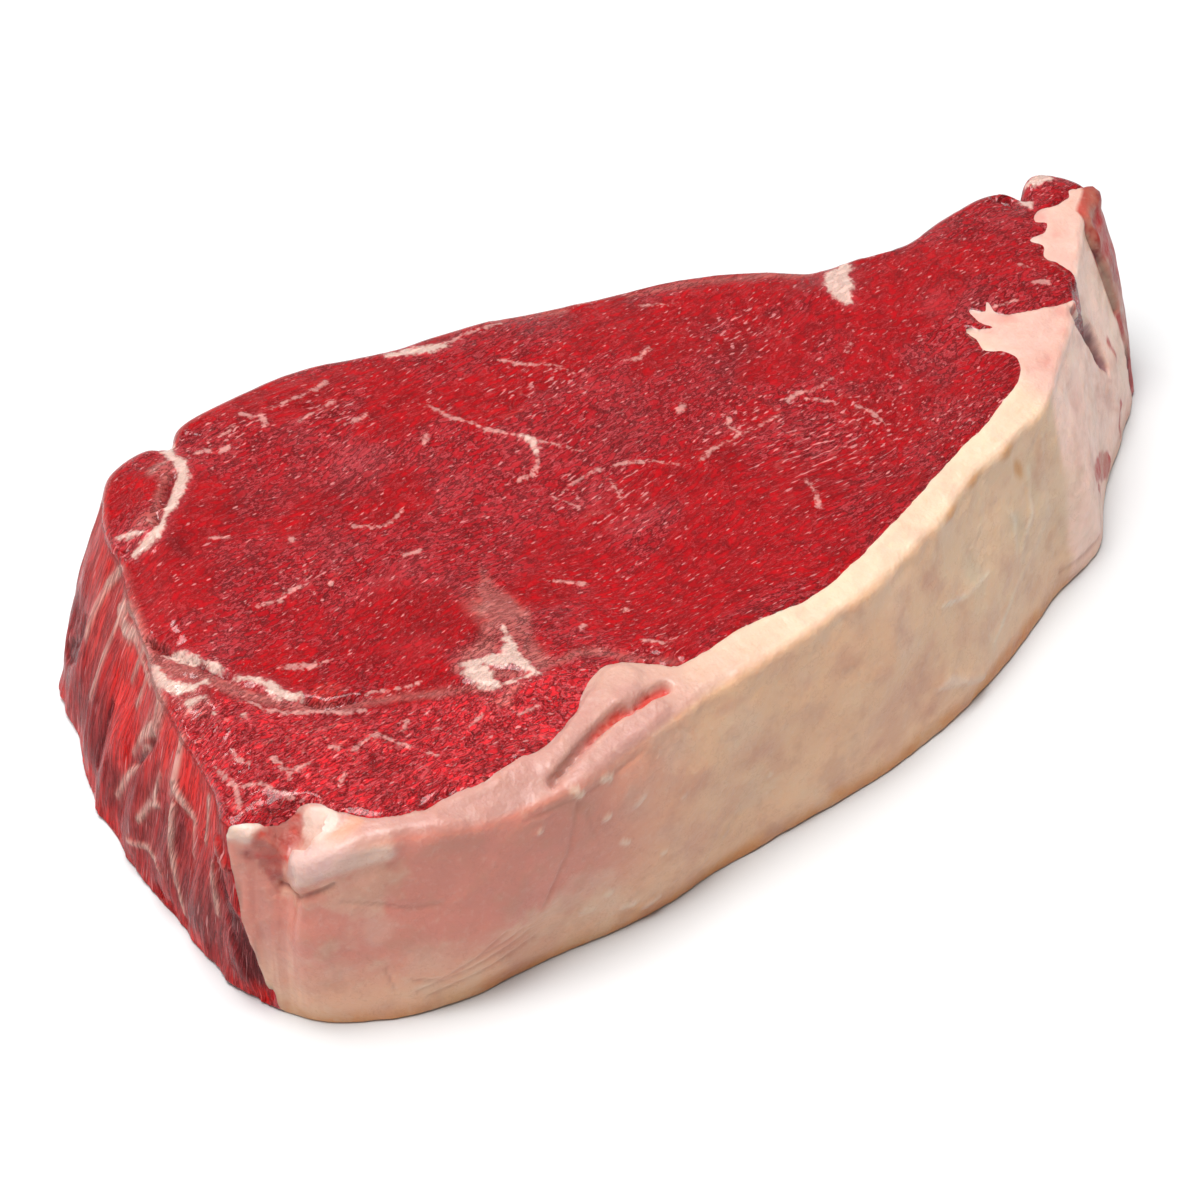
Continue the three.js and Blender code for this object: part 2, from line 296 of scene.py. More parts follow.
def steak_skin():
    """The whole steak's closed skin, still smooth."""
    columns = outline_columns()
    count = len(columns.along)
    rings = wall_rings(columns)
    walls = np.vstack([ring for ring, _ in rings])
    flat = np.repeat([flatness for _, flatness in rings], count).astype(float)
    ring = np.arange(count)
    beside = (ring + 1) % count
    faces = []
    for level in range(len(rings) - 1):
        a, b = level * count + ring, level * count + beside
        faces += [np.column_stack([a, b, b + count]), np.column_stack([a, b + count, a + count])]

    inner, top_faces = filled(rings[0][0][:, :2], TOP_GRID)
    edge, column = nearest(inner, columns.rim)
    eased = np.mean([np.roll(columns.drop, shift) for shift in range(-8, 9)], axis=0)
    height = top_height(inner) - eased[column] * (1 - smooth(edge, 0, FALL_WIDTH))
    top = np.column_stack([inner, height])
    top_start = len(walls)
    faces.append(np.where(top_faces < count, top_faces, top_faces - count + top_start))

    under, under_faces = filled(rings[-1][0][:, :2], UNDER_GRID)
    _, under_column = nearest(under, columns.foot)
    under = np.column_stack([under, np.zeros(len(under))])
    under_start = top_start + len(top)
    sole_start = (len(rings) - 1) * count
    faces.append(np.where(under_faces < count, under_faces + sole_start, under_faces - count + under_start))

    points = np.vstack([walls, top, under])
    faces[-2] = turned(points, faces[-2], True)
    faces[-1] = turned(points, faces[-1], False)
    flat = np.concatenate([flat, np.ones(len(top)), -np.ones(len(under))])
    on_walls = np.tile(columns.along, len(rings))
    along = np.concatenate([on_walls, columns.along[column], columns.along[under_column]])
    return Skin(points, np.vstack(faces), flat, along)


def skin_normals(points, faces):
    a, b, c = (points[faces[:, corner]] for corner in range(3))
    face_normals = np.cross(b - a, c - a)
    normals = np.zeros_like(points)
    for corner in range(3):
        for axis in range(3):
            normals[:, axis] += np.bincount(faces[:, corner], face_normals[:, axis], len(points))
    return normals / np.linalg.norm(normals, axis=1)[:, None]


# ------------------------------------------------------------------ noise and strokes
LATTICE = 64
FAR = 99  # millimetres, the distance given to points where a stroke isn't looked for


def noise(points, size, seed):
    """Smooth noise from -1 to 1; its features are about `size` mm across, or one size an axis."""
    table = np.random.default_rng(seed).uniform(-1, 1, (LATTICE,) * 3)
    spot = points / np.asarray(size, float)
    cell = np.floor(spot).astype(int)
    share = spot - cell
    ease = share * share * (3 - 2 * share)
    total = np.zeros(len(points))
    for corner in itertools.product((0, 1), repeat=3):
        x, y, z = ((cell + corner) % LATTICE).T
        weight = np.prod(np.where(corner, ease, 1 - ease), axis=1)
        total += table[x, y, z] * weight
    return total


def ridges(points, size, seed):
    """Noise folded into sharp crests: 1 on a crest, 0 far from one."""
    return 1 - np.abs(noise(points, size, seed))


def stroke(spots, rows):
    """Signed distance to a stroke, whose rows hold x, y and half width: negative inside it."""
    best = np.full(len(spots), float(FAR))
    for start, end in zip(rows, rows[1:] or rows):
        start, end = np.array(start, float), np.array(end, float)
        step = end[:2] - start[:2]
        share = np.clip((spots - start[:2]) @ step / max(step @ step, 1e-9), 0, 1)
        gap = np.linalg.norm(spots - start[:2] - share[:, None] * step, axis=1)
        best = np.minimum(best, gap - (start[2] + share * (end[2] - start[2])))
    return best


def strokes(spots, many, where):
    """Distance to the nearest of many strokes, looked for only where asked."""
    distance = np.full(len(spots), float(FAR))
    distance[where] = np.min([stroke(spots[where], rows) for rows in many], axis=0)
    return distance


def blobs(spots, many):
    """1 in the middle of the nearest soft oval (x, y, half length, half width) and 0 outside all."""
    best = np.zeros(len(spots))
    for x, y, long, wide in many:
        apart = np.hypot((spots[:, 0] - x) / long, (spots[:, 1] - y) / wide)
        best = np.maximum(best, 1 - smooth(apart, 0.2, 1))
    return best


# ------------------------------------------------------------------ what shows on the cut face
# Strokes on the cut face: x, y and half width.
CREAM = [
    # the seam between the strip muscle and the eye
    [(-59.6, 45, 0.7), (-59.6, 43, 0.85), (-61.6, 40, 0.85), (-64.7, 37.6, 0.95), (-67, 36.2, 0.9),
     (-68.8, 35.1, 0.3), (-70.6, 33.9, 0.6), (-72.5, 32.7, 0.85), (-74.7, 32.6, 0.9), (-76.7, 32.6, 0.5)],
    [(-59.8, 45, 0.5), (-59, 47.4, 1), (-57.6, 48.6, 0.7)],
    [(-76.3, 37, 0.4), (-75.2, 36.3, 0.55), (-73.5, 34.8, 0.3)],
    # the left border of the eye
    [(-86.8, 13, 0.2), (-85.7, 10.4, 0.75), (-84.9, 7.6, 0.6), (-84.4, 6.4, 0.2)],
    [(-84.2, 5.8, 0.25), (-83.6, 4.4, 0.65), (-83.4, 3, 0.2)],
    [(-83.2, 0.6, 0.25), (-82.1, -1.1, 0.35), (-80.8, -2.8, 0.5), (-80.5, -4.2, 0.8), (-80.4, -5.9, 0.9),
     (-79.8, -8, 0.8), (-78.5, -9.1, 0.6), (-77.9, -9.6, 0.2)],
    # the white patch where the side muscle meets it
    [(-89.3, 12, 0.5), (-90.4, 8.5, 0.9), (-89.9, 5.3, 1.2), (-88.6, 3.6, 0.6), (-86.6, 3, 0.4)],
    [(-90.6, 2, 0.6), (-88.8, 0.6, 0.3)], [(-87.2, -7, 0.4)], [(-89.7, -3.1, 0.25)],
    # the kernel
    [(-46.1, -16.9, 0.05), (-47.2, -19.1, 0.4), (-48.4, -21.2, 0.9), (-49.6, -22.8, 1.3), (-49.6, -24.6, 1.2),
     (-49.3, -26.6, 0.7), (-49.1, -28.4, 0.2)],
    [(-49.8, -23.4, 1.3), (-51.4, -22.6, 1.3), (-52.8, -21.6, 1.1), (-54.5, -20.6, 0.8), (-56, -19.6, 0.4)],
    [(-56.2, -21.6, 1.3), (-55.6, -22.8, 1.9), (-55.8, -24.6, 1.3), (-55.3, -26.2, 0.6)],
    [(-54, -26.9, 0.25), (-51.4, -27.6, 0.1), (-49.3, -28, 0.15)],
    # bits along the back edge
    [(-19, 42, 0.4), (-16, 40.6, 0.9), (-13, 38.7, 0.9), (-10.5, 37.6, 0.5)],
    [(51, 9.5, 1), (48, 8.5, 1.8), (46.5, 6.5, 2.4), (45, 4, 1.4), (44.6, 2.4, 0.7)],
    [(84.6, 0.5, 0.5), (85.2, 1.7, 0.9), (85.8, 3.4, 0.5)],
    [(89.5, 5, 0.6), (91.5, 4.6, 1.1), (93, 3.5, 0.5)],
    # the stem of the forked vein
    [(-16.2, 12.6, 0.25), (-15.8, 10.8, 0.65), (-16.8, 8.4, 0.3)],
]

# Thin veins and flecks, which break up: x, y and half width.
VEINS = [
    # the forked vein in the middle of the eye
    [(-22.7, 29, 0.15), (-22, 26, 0.2), (-21.3, 22.5, 0.4), (-20, 20, 0.15), (-19, 17, 0.45),
     (-17, 13.8, 0.15), (-16, 12.2, 0.4)],
    [(-16.8, 8.4, 0.35), (-19, 6, 0.25), (-21, 5, 0.4), (-23.5, 5.4, 0.25)],
    [(-15.5, 11, 0.25), (-13.7, 8, 0.1), (-12, 4, 0.15)],
    # far side
    [(-41, 43.5, 0.35), (-38, 43, 0.15), (-34, 42.7, 0.35), (-31, 42.8, 0.35)],
    [(-40, 38.3, 0.1), (-33, 38.5, 0.15)], [(-35, 33, 0.25), (-31, 32.6, 0.25)],
    [(-28.7, 21.4, 0.4), (-27.2, 22.8, 0.4)], [(-58.3, 17.8, 0.55)],
    [(-56, 43.5, 0.4), (-55, 43, 0.5), (-54.6, 41.6, 0.3)], [(-53.5, 41, 0.4), (-52, 40.8, 0.5)],
    [(-51.5, 43.8, 0.25), (-48, 44.3, 0.2)],
    [(-45.3, 46, 0.3), (-44.8, 44, 0.2)], [(-43.4, 43.3, 0.5), (-44.6, 41, 0.2)],
    [(-6.5, 29, 0.25), (-5, 26.5, 0.2), (-3, 24, 0.25), (-1, 22.5, 0.1), (0, 19, 0.15)],
    [(7.5, 15.3, 0.15), (10, 14.2, 0.25), (13, 15.3, 0.2)], [(11, 31.8, 0.1), (13, 31, 0.15)],
    [(19, 24.5, 0.2), (22, 21.5, 0.15), (24, 20.5, 0.1)],
    # the left half of the eye
    [(-49, 14, 0.2), (-47, 12, 0.1), (-45, 10.8, 0.15), (-41, 12, 0.1)],
    [(-71, 10, 0.25), (-68, 8.7, 0.25), (-66, 9.2, 0.2)], [(-65, 9.3, 0.45), (-63.6, 8.8, 0.3)],
    [(-47.5, 4.2, 0.25), (-45, 3.2, 0.3)], [(-67, 26.5, 0.15), (-65, 25, 0.2)],
    [(-59.8, 6.5, 0.4)], [(-77, -2.5, 0.15), (-74, -5.4, 0.15)], [(-34.2, -15.2, 0.2), (-31, -19.3, 0.3)],
    [(-37.8, -25.6, 0.4)], [(-30.5, -27, 0.4)], [(-33, -34, 0.3), (-31.5, -36.5, 0.3)],
    # the right half
    [(-20, -1, 0.15), (-15, -0.6, 0.2), (-12, -1.2, 0.15)],
    [(-10, -2, 0.25), (-8, -3.3, 0.45), (-5.5, -5, 0.15), (-1.5, -9.8, 0.1)],
    [(-22, -1, 0.15), (-20.5, -5.5, 0.1)], [(-13, -4, 0.15), (-14.3, -8, 0.15)],
    [(0, -10.2, 0.1), (3.5, -9.5, 0.3), (7, -10, 0.15), (9.2, -9.6, 0.25), (9.4, -7, 0.3),
     (10.6, -5.7, 0.1)],
    [(9.5, -10.2, 0.1), (17, -10.5, 0.15)],
    [(20, -9, 0.2), (22.5, -8.8, 0.4), (25, -9.8, 0.2), (29, -9.8, 0.2)],
    [(23, -10.5, 0.1), (25.2, -13.4, 0.3)], [(27.3, -16.5, 0.25), (28.3, -19.5, 0.3), (28, -23, 0.15)],
    [(9.7, -24, 0.1), (8.8, -27, 0.2), (6.9, -30, 0.35)], [(35.5, -6.6, 0.1), (37.5, -5.6, 0.15)],
    [(6, 0.2, 0.5), (7, 1.5, 0.3)],
    [(70.5, -14.2, 0.3), (72.3, -15.4, 0.6)], [(72, -9.5, 0.15), (72.6, -12.5, 0.1)],
    [(61, -14.3, 0.15), (65, -15.6, 0.15)],
    # along the back edge
    [(-10, 38, 0.25), (-5, 37.8, 0.25), (0, 36.3, 0.2)],
    # the lower edge of the membrane round the side muscle
    [(-85.6, -3.9, 0.25), (-84.2, -6, 0.25), (-83.4, -8.6, 0.4), (-81.3, -10.8, 0.45), (-78.2, -13.4, 0.45),
     (-75.7, -16.3, 0.45), (-73, -17.6, 0.25)],
    [(-70.7, -15.2, 0.15), (-66.7, -17.3, 0.2), (-63, -18.4, 0.15)],
    [(-76.4, -2.4, 0.1), (-73.5, -4.9, 0.5), (-70.2, -6.3, 0.1)],
    # the side muscle's streaks
    [(-82, -20.3, 0.25), (-81.4, -21.5, 0.3)],
    [(-79.9, -23.2, 0.2), (-77.3, -22.8, 0.3), (-75.1, -22.6, 0.45), (-74.5, -24.4, 0.25),
     (-73.4, -27.5, 0.3)],
    [(-70.1, -23.2, 0.2), (-71.9, -24.4, 0.2)], [(-89.5, -16.7, 0.45), (-89.9, -19.6, 0.3)],
    [(-90.5, -21.2, 0.25), (-88.2, -20.6, 0.45), (-86.8, -21.1, 0.25)],
    [(-92.5, -10.8, 0.25), (-93, -13.2, 0.35), (-92.6, -15.1, 0.25)],
    [(-95.8, -11.1, 0.25), (-96.4, -16.6, 0.35), (-99.3, -21.1, 0.25)],
    [(-96, -17.5, 0.15), (-94.2, -19.3, 0.4), (-93.7, -20.8, 0.25), (-92.4, -23.6, 0.3), (-91.5, -25, 0.15)],
    [(-72.2, -30.1, 0.2), (-71.5, -32, 0.2)], [(-67.6, -27.4, 0.25)], [(-86, -27, 0.15), (-84, -26, 0.25)],
    [(-64, -30, 0.15), (-61, -29.6, 0.25)], [(-57, -33, 0.15), (-54, -33.6, 0.2)],
]

# Grey-pink membrane and gristle: x, y and half width.
GRISTLE = [
    [(-84.5, 27, 0.5), (-87.5, 21, 0.9), (-88.5, 14, 1.2), (-87.5, 8, 1.2), (-85.6, 3, 1.1), (-84.6, -2, 1.1),
     (-82.6, -6, 1.1), (-80.6, -9.9, 1.1), (-76.9, -13, 1.1), (-73.4, -15.8, 1), (-67.4, -18.9, 0.9),
     (-62.5, -21.7, 1), (-58.3, -23.9, 0.9), (-56.4, -26.3, 0.6)],
    [(-40.5, -5.5, 0.5), (-42.7, -9.5, 1.5), (-43.4, -12.6, 2.5), (-44.4, -16.2, 3), (-46, -20, 2.7),
     (-47.5, -24.4, 1.6), (-47.4, -27, 0.9)],
    [(-47.7, -16, 1.2), (-49.8, -18.4, 1.6), (-53.7, -18.6, 1.2), (-57, -20, 0.7)],
    [(-53.8, -23.6, 0.8), (-52.4, -25.3, 0.9), (-50.8, -26.3, 0.6)],
    [(-47.6, -27.1, 0.8), (-45.2, -28.5, 0.8), (-42.3, -28.8, 0.8), (-39.7, -31, 0.8), (-37.5, -34.5, 0.8),
     (-34.5, -38, 0.8), (-32.5, -40.5, 0.6)],
    [(0, 37, 0.4), (10, 32, 0.6)], [(20, 27.5, 0.6), (31, 22.3, 0.9), (40, 16.3, 0.7), (46, 12, 0.7)],
    [(-60, 43.7, 0.4), (-63.7, 42.3, 0.5), (-67.1, 39.5, 0.5), (-70.6, 35.9, 0.5)],
    [(56, 10, 0.3), (60, 8.5, 0.3)],
]

# Slits and grooves: x, y and half width.
SLITS = [
    [(-61.6, 41.7, 0.1), (-63.4, 41.1, 0.3), (-67.6, 37.3, 0.25)], [(-69.6, 36, 0.1), (-71, 34.7, 0.15)],
    [(82.6, 6.5, 0.3), (83.6, 3.8, 0.3)], [(86.6, 5, 0.4), (86.4, 3, 0.2)],
    [(-86.6, 17, 0.1), (-86, 10, 0.15), (-84.2, 4, 0.15), (-83.3, 1.2, 0.1)],
    [(-78.4, -9.8, 0.1), (-76.8, -13, 0.2), (-72.5, -14.8, 0.1)],
]

# Parts of the lean that differ, as soft ovals: x, y, half length and half width.
DARK = [
    (-62, 29, 17, 8), (-70, 17, 12, 7), (-78, -17, 9, 5), (22, 3, 12, 7),
    (60, -11, 10, 5), (-45, 20, 12, 5), (28, -17, 12, 7), (0, -12, 10, 4), (-86, -12, 6, 5),
    (14, 12, 10, 6), (-90, -18, 5, 5), (40, -5, 6, 4),
]
PALE = [
    (-60, 10, 11, 5), (-78, 10, 7, 9), (-62, -12, 9, 5), (36, -4, 6, 4), (-83, -32.5, 7, 4), (-74, -35, 9, 4),
    (-28, 8, 12, 8), (56, -8, 8, 7), (-15, -5, 9, 6), (-17, -14, 7, 4), (-40, 25, 8, 8), (-50, 3, 14, 5),
]
# Where painted glints gather and the fibres stand out more.
GLINTING = [
    (20, -20, 24, 14), (-16, -8, 10, 11), (26, 8, 14, 10), (-60, 10, 10, 5), (-48, 43, 14, 5),
    (-34, 38, 8, 9), (10, -8, 14, 6), (35, -28, 14, 6), (-30, -36, 8, 4), (-5, 20, 14, 8),
]
SINEWY = [(-88, 8, 3.5, 9), (-90.5, 1, 3, 5), (-87.5, 16, 2.5, 7), (-62, 44, 4, 3), (-71, 36.5, 4, 2.5)]
KERNEL_HALO = [(-45, -14, 5, 8), (-53, -19.5, 6, 3.5), (-48, -25, 4, 5)]
OVAL_MUSCLE = (-75, -11, 2.6, 2.2)

# The border of the crescent side muscle: y for x.
SIDE_MUSCLE = np.array([
    [-98, 6], [-90, 2], [-86, -3], [-84, -8], [-81, -12], [-77, -16], [-66, -21.5], [-59, -24.5],
    [-49, -29], [-43, -31.5], [-38, -36], [-33, -42],
])

# ------------------------------------------------------------------ what shows on the fat
# Strokes on the top of the fat: x, y and half width.
FOLD_SLIT = [
    [(-61.5, -45.6, 0.1), (-56, -44.4, 0.2), (-50, -43.1, 0.3), (-46, -42.6, 0.5), (-44.5, -43.3, 0.4)],
    [(-43, -43.4, 0.3), (-40.5, -43, 0.4), (-37.5, -43.3, 0.5)],
]
FOLD_LIPS = [
    [(-60, -43.8, 0.6), (-54, -42.2, 1.2), (-47, -39.8, 1.8), (-41.5, -38.2, 2)],
    [(-60, -47.2, 0.5), (-54, -46.4, 1), (-47, -45.6, 1.2), (-41, -45.6, 0.8)],
]
NOSE = [
    [(-97.3, -29.3, 0.5), (-95.3, -33.2, 0.8), (-91, -35.3, 0.8), (-85.5, -37.4, 0.7), (-80.4, -40.4, 0.5),
     (-77, -42.8, 0.3)],
]
ORANGE_DIP = [[(-94, -33.4, 0.5), (-91, -33.9, 0.6), (-88.6, -33.9, 0.5)]]
CORNER_CREAM = [
    [(-92.2, -27.6, 0.7), (-90.9, -29.8, 1.1), (-91, -31.2, 1.1), (-93.2, -31.4, 0.9), (-95.4, -30.2, 0.6)],
    [(-93, -29, 1.1)], [(-101.4, -21.9, 0.7), (-100.2, -23.5, 0.9), (-98.2, -24, 0.4)],
]

# Strokes on the sides: how far along the outline, z and half width.
TAIL_RED = [
    [(189.5, 37, 2.6), (193.6, 35.5, 4.4), (195, 30, 4.5), (195.6, 22, 4.4), (195.6, 12, 4.2), (194.6, 2, 4)],
]
TAIL_CREASE = [[(199.8, 34, 0.05), (200.2, 28, 0.15), (200.6, 20, 0.1)], [(200.4, 12, 0.1), (200, 3, 0.1)]]
END_RED = [
    [(240.6, 14, 1.5), (234, 9.6, 3.1), (227, 4.8, 2.8)], [(240.2, 10.4, 1.3), (239.4, 7.4, 0.6)],
    [(209.5, 20, 0.9), (208.5, 16, 0.6)], [(221.5, 36.5, 0.3), (222.5, 33, 0.5)],
    [(212, 8, 0.8), (214, 3, 0.9)],
]
POCKET = [
    [(223.5, 37, 0.2), (221.6, 33, 0.5), (218.4, 28.8, 1.4), (216.4, 24.6, 2.1), (214.9, 20.6, 1.3),
     (214, 17.8, 0.2)],
]
POCKET_DEEP = [[(217, 27, 0.4), (215.4, 23.5, 1), (214.6, 20, 0.4)]]
# on the slope of the low corner: the pink facet, the nose over it and the crease under the nose
PINK_FACET = [
    [(413.4, 34.6, 0.9), (411, 33, 2.4), (411, 30.6, 2.2), (410, 28, 1.3), (409, 26, 0.5)],
    [(408.4, 34.4, 1.3), (409, 32, 1.6)], [(415, 32, 0.6)],
]
NOSE_SIDE = [[(405.8, 29, 0.8), (403, 32, 1.3), (399, 34, 1.3), (394, 34.8, 1), (389, 35, 0.6)]]
NOSE_CREASE = [[(408.4, 26.4, 0.05), (404.6, 26.6, 0.15), (400.5, 28.6, 0.1), (397, 30.4, 0.05)]]
CREASES = [
    [(359, 33, 0.05), (360.5, 24, 0.1), (362.3, 20, 0.15), (364.5, 15, 0.05)],
    [(357.5, 30, 0.05), (356, 24, 0.05)], [(390, 12, 0.05), (388.5, 7, 0.05)],
    [(386, 9, 0.05), (381, 7.5, 0.1), (375.5, 10, 0.05), (371, 14, 0.05)], [(379, 9, 0.05), (368, 12, 0.05)],
    [(396, 27, 0.05), (392, 26, 0.1), (386, 23.7, 0.1), (381, 23.3, 0.05)],
    [(383, 4, 0.05), (372, 6.5, 0.1), (365, 8, 0.05)], [(385, 6, 0.05), (374, 8.4, 0.05), (366, 10.6, 0.05)],
    [(372, 34, 0.05), (366, 33.5, 0.15), (360, 33.8, 0.15), (352, 34.3, 0.1), (346, 35, 0.05)],
    [(255, 5, 0.2), (250, 3.5, 0.3), (246, 3, 0.1)],
]
SKIN_VEINS = [
    [(250.2, 33, 0.2), (253.5, 26, 0.35), (255.5, 18, 0.4), (260, 15.5, 0.3), (264, 13.5, 0.3),
     (268, 11.5, 0.3), (273, 8, 0.15)],
    [(255.5, 30, 0.2), (258, 22, 0.2), (263, 17, 0.15)], [(283, 23, 0.1), (277, 21, 0.2), (271, 21, 0.1)],
    [(264, 30, 0.15), (262, 24, 0.2), (264, 18, 0.15)],
]
NODULES = [
    [(348.6, 26.7, 0.4), (347.4, 27.2, 0.3)], [(351.3, 20.9, 0.3), (350.5, 20.2, 0.3)], [(353, 10.8, 0.5)],
    [(350.2, 6, 0.5), (348.6, 5.4, 0.3)], [(354.1, 27.4, 0.5)], [(340, 23, 0.3)], [(344, 14, 0.3)],
    [(359.6, 35, 0.4), (358.6, 34, 0.5)], [(354.5, 34.5, 0.4), (353, 34, 0.4)],
    [(357, 9, 0.4), (355.6, 8.6, 0.3)], [(365.5, 30.4, 0.3)],
    [(286.5, 9.5, 0.3), (283, 8.6, 0.9), (280.5, 6.5, 0.5), (276, 3.8, 0.3)],
    [(346.5, 3.5, 0.4), (344.5, 4.3, 0.3)], [(331, 8, 0.2)], [(322, 15, 0.2)],
]

# Parts of the sides that differ, as soft ovals: along the outline, z, half length and half height.
SKIN_RED = [
    (309, 5, 3.4, 2), (300.5, 7.6, 2.2, 1.4), (289, 6.3, 3, 2.2), (326, 22, 7, 5), (370, 2, 9, 2.5),
    (409, 3, 4, 3), (330, 33, 4, 1.5),
]
SKIN_ORANGE_SPOTS = [(259, 35.5, 3, 1.6), (268, 35.8, 3.2, 1.3), (276, 35.5, 4, 1), (257.5, 31, 1.5, 3)]
SKIN_OLIVE = [(254.8, 24, 3.2, 13), (262, 21, 3, 10), (252.5, 14, 2, 9), (274, 24, 3, 7)]
SMUDGES = [(417.4, 23.5, 1.6, 5), (420.6, 18, 1.2, 4), (414.6, 12, 1, 6)]
# Painted light: patches where the left side's red is painted lighter, as lit.
WALL_BRIGHT = [
    (461.5, 27, 9, 10), (456, 31, 6, 6), (459, 19, 6, 8), (434.9, 33, 6, 7), (443.5, 31, 4, 7),
    (428, 31, 5, 8), (467, 33, 6, 5),
]
WALL_MEMBRANE = [(447, 16, 6, 10), (478, 26, 6, 14), (427, 12, 4, 9), (485, 30, 5, 10), (441, 12, 5, 8)]
WALL_SINEWY = [(456, 36, 10, 3.5), (449, 33, 4, 7), (469, 33, 7, 5), (440, 27, 3, 4), (451, 26, 3, 5)]

# ------------------------------------------------------------------ what shows on the left side
WALL_SEAM = np.array([  # where the left side meets the fat: how far along the outline for z
    [0, 412.6], [8, 412.9], [18, 414], [27, 416.3], [33, 417.4], [38, 418],
])
# Strokes on it: how far along the outline, z and half width.
WALL_WHITE = [
    [(473.4, 31.5, 0.5), (469, 31.6, 0.8), (462.9, 34.4, 0.7), (457.4, 35.6, 0.8), (451.4, 36.1, 1.2),
     (448.2, 36, 1.4), (448.4, 30, 0.9), (450.8, 27.5, 0.6), (453.6, 23.2, 0.35), (455, 20, 0.2)],
    [(466, 33, 0.3), (459, 32.6, 0.2), (454, 33.4, 0.3)],
    [(470, 34.8, 0.5), (463, 36.4, 0.4), (456, 37, 0.5)],
    [(453, 19, 0.15), (456.3, 14.2, 0.3), (459.1, 8.4, 0.2)],
    [(439.3, 35.9, 0.6), (439.3, 32.8, 0.45), (439.3, 27, 0.4), (436.5, 26.6, 0.45), (432.2, 25.7, 0.3),
     (431.4, 20, 0.15)],
    [(437.8, 24.5, 0.3), (438, 17.7, 0.2), (436.8, 9.4, 0.2), (434.9, 4.5, 0.25)],
    [(448.7, 12.5, 0.2), (446.5, 17.2, 0.25), (444, 19, 0.1)],
    [(451.9, 5.9, 0.15), (447, 8, 0.2), (444.8, 9.3, 0.2), (440.4, 9, 0.15)],
    # These two strokes are pale strands with a painted sheen on them.
    [(478.3, 36.7, 0.4), (477.8, 35.8, 0.4), (480.5, 30.6, 0.4), (481.5, 26, 0.3), (482, 20, 0.15)],
    [(472, 33, 0.8), (472.3, 29.5, 0.4), (472.5, 24, 0.3), (473, 16.6, 0.2)],
    [(461, 34, 0.2), (462, 28, 0.15)], [(456.5, 33, 0.15), (457.5, 27, 0.2)],
    [(444, 25, 0.1), (445.5, 19, 0.15)], [(428.5, 33, 0.2), (427.5, 26, 0.15)],
    [(424.8, 24, 0.15), (424, 14, 0.2)],
]
WALL_DARK = [
    [(422.8, 27, 0.5), (422, 22, 1), (419, 17.6, 1.7), (417, 12, 1.4), (415.8, 5, 1.1), (415.4, 2, 0.9)],
    [(484.9, 20, 1), (486, 14.4, 1.4), (489.9, 10, 1)],
    [(448, 28.5, 0.1), (448.9, 26, 0.2), (452, 21, 0.2), (453.5, 19, 0.1)], [(466, 20, 0.2), (467.5, 8, 0.3)],
]
WALL_LENS = [[(436.2, 24.4, 0.4), (436, 20.4, 0.9), (436.4, 15.4, 0.5)]]
WALL_GLAND = [[(422.4, 31, 0.3), (421.4, 29.8, 0.8), (419.8, 28.6, 0.8)]]

print("steak: building the skin")
skin = steak_skin()
print("steak:", len(skin.points), "points,", len(skin.faces), "faces")


def seam_curve():
    """The smooth seam, evenly sampled, as rows of x, y, dx, dy that run on round the block's back."""
    landmarks = np.vstack([SEAM, BEHIND])
    fine = np.linspace(0, 1, 6001)
    curve = closed_curve(landmarks, fine)
    steps = np.linalg.norm(np.diff(curve[:, :2], axis=0), axis=1)
    reached = np.concatenate([[0], np.cumsum(steps)])
    count = round(reached[-1] / SEAM_STEP)
    times = np.interp(np.arange(count) * reached[-1] / count, reached, fine)
    curve = closed_curve(landmarks, times)
    place = curve[:, [0, 1, 0]] * (1, 1, 0)
    curve[:, 0] += 0.16 * noise(place, 2.4, 5) + 0.08 * noise(place, 0.9, 6)
    curve[:, 1] += 0.16 * noise(place, 2.4, 7) + 0.08 * noise(place, 0.9, 8)
    return curve


def inside(spots, outline):
    """True for the points inside a closed outline."""
    hits = np.zeros(len(spots), bool)
    for (x0, y0), (x1, y1) in zip(outline, np.roll(outline, -1, axis=0)):
        spans = (y0 > spots[:, 1]) != (y1 > spots[:, 1])
        if spans.any():
            cross = x0 + (spots[:, 1] - y0) * (x1 - x0) / (y1 - y0 or 1e-9)
            hits ^= spans & (spots[:, 0] < cross)
    return hits


def seam_distance(spots, curve, depth):
    """Distance to the seam on the cut face, or on the board: positive in the lean."""
    line = curve[:, :2] + curve[:, 2:] * depth
    apart, _ = nearest(spots, line)
    return np.where(inside(spots, line), apart, -apart)


# ------------------------------------------------------------------ masks
HALF_WAY_ROUND = 250  # along the outline, which starts at the far left corner
CORNER_START, CORNER_END = 385, 420  # the low corner, along the outline

seam_rows = seam_curve()
points, flat, along = skin.points, skin.flat, skin.along
spots = points[:, :2]
facing_up, facing_down = flat > 0, flat < 0
cut = smooth(flat, 0, 0.8)  # 1 on the cut face
wall = 1 - smooth(np.abs(flat), 0, 0.8)
upper = np.maximum(cut, smooth(points[:, 2], THICKNESS - 6, THICKNESS - 3))
height = np.clip(points[:, 2] / THICKNESS, 0, 1)
seam = np.full(len(points), -float(FAR))
seam[facing_up] = seam_distance(spots[facing_up], seam_rows, 0)
fat_edge = np.interp(points[:, 2], *WALL_SEAM.T)
left_wall = wall * smooth(-points[:, 0], 68, 76)
left_wall *= np.where(along > HALF_WAY_ROUND, smooth(along - fat_edge, -0.6, 0.6), 1)
back_wall = wall * (1 - smooth(-points[:, 0], 66, 76)) * smooth(points[:, 1], -4, 4)
fat_wall = wall * (1 - np.maximum(left_wall, back_wall))
beside = np.abs(flat) < 0.9
on_sides = np.column_stack([along, points[:, 2]])
on_top = facing_up | (points[:, 2] > THICKNESS - 8)
cream, veins, gristle, slits = (
    strokes(spots, many, on_top) for many in (CREAM, VEINS, GRISTLE, SLITS)
)
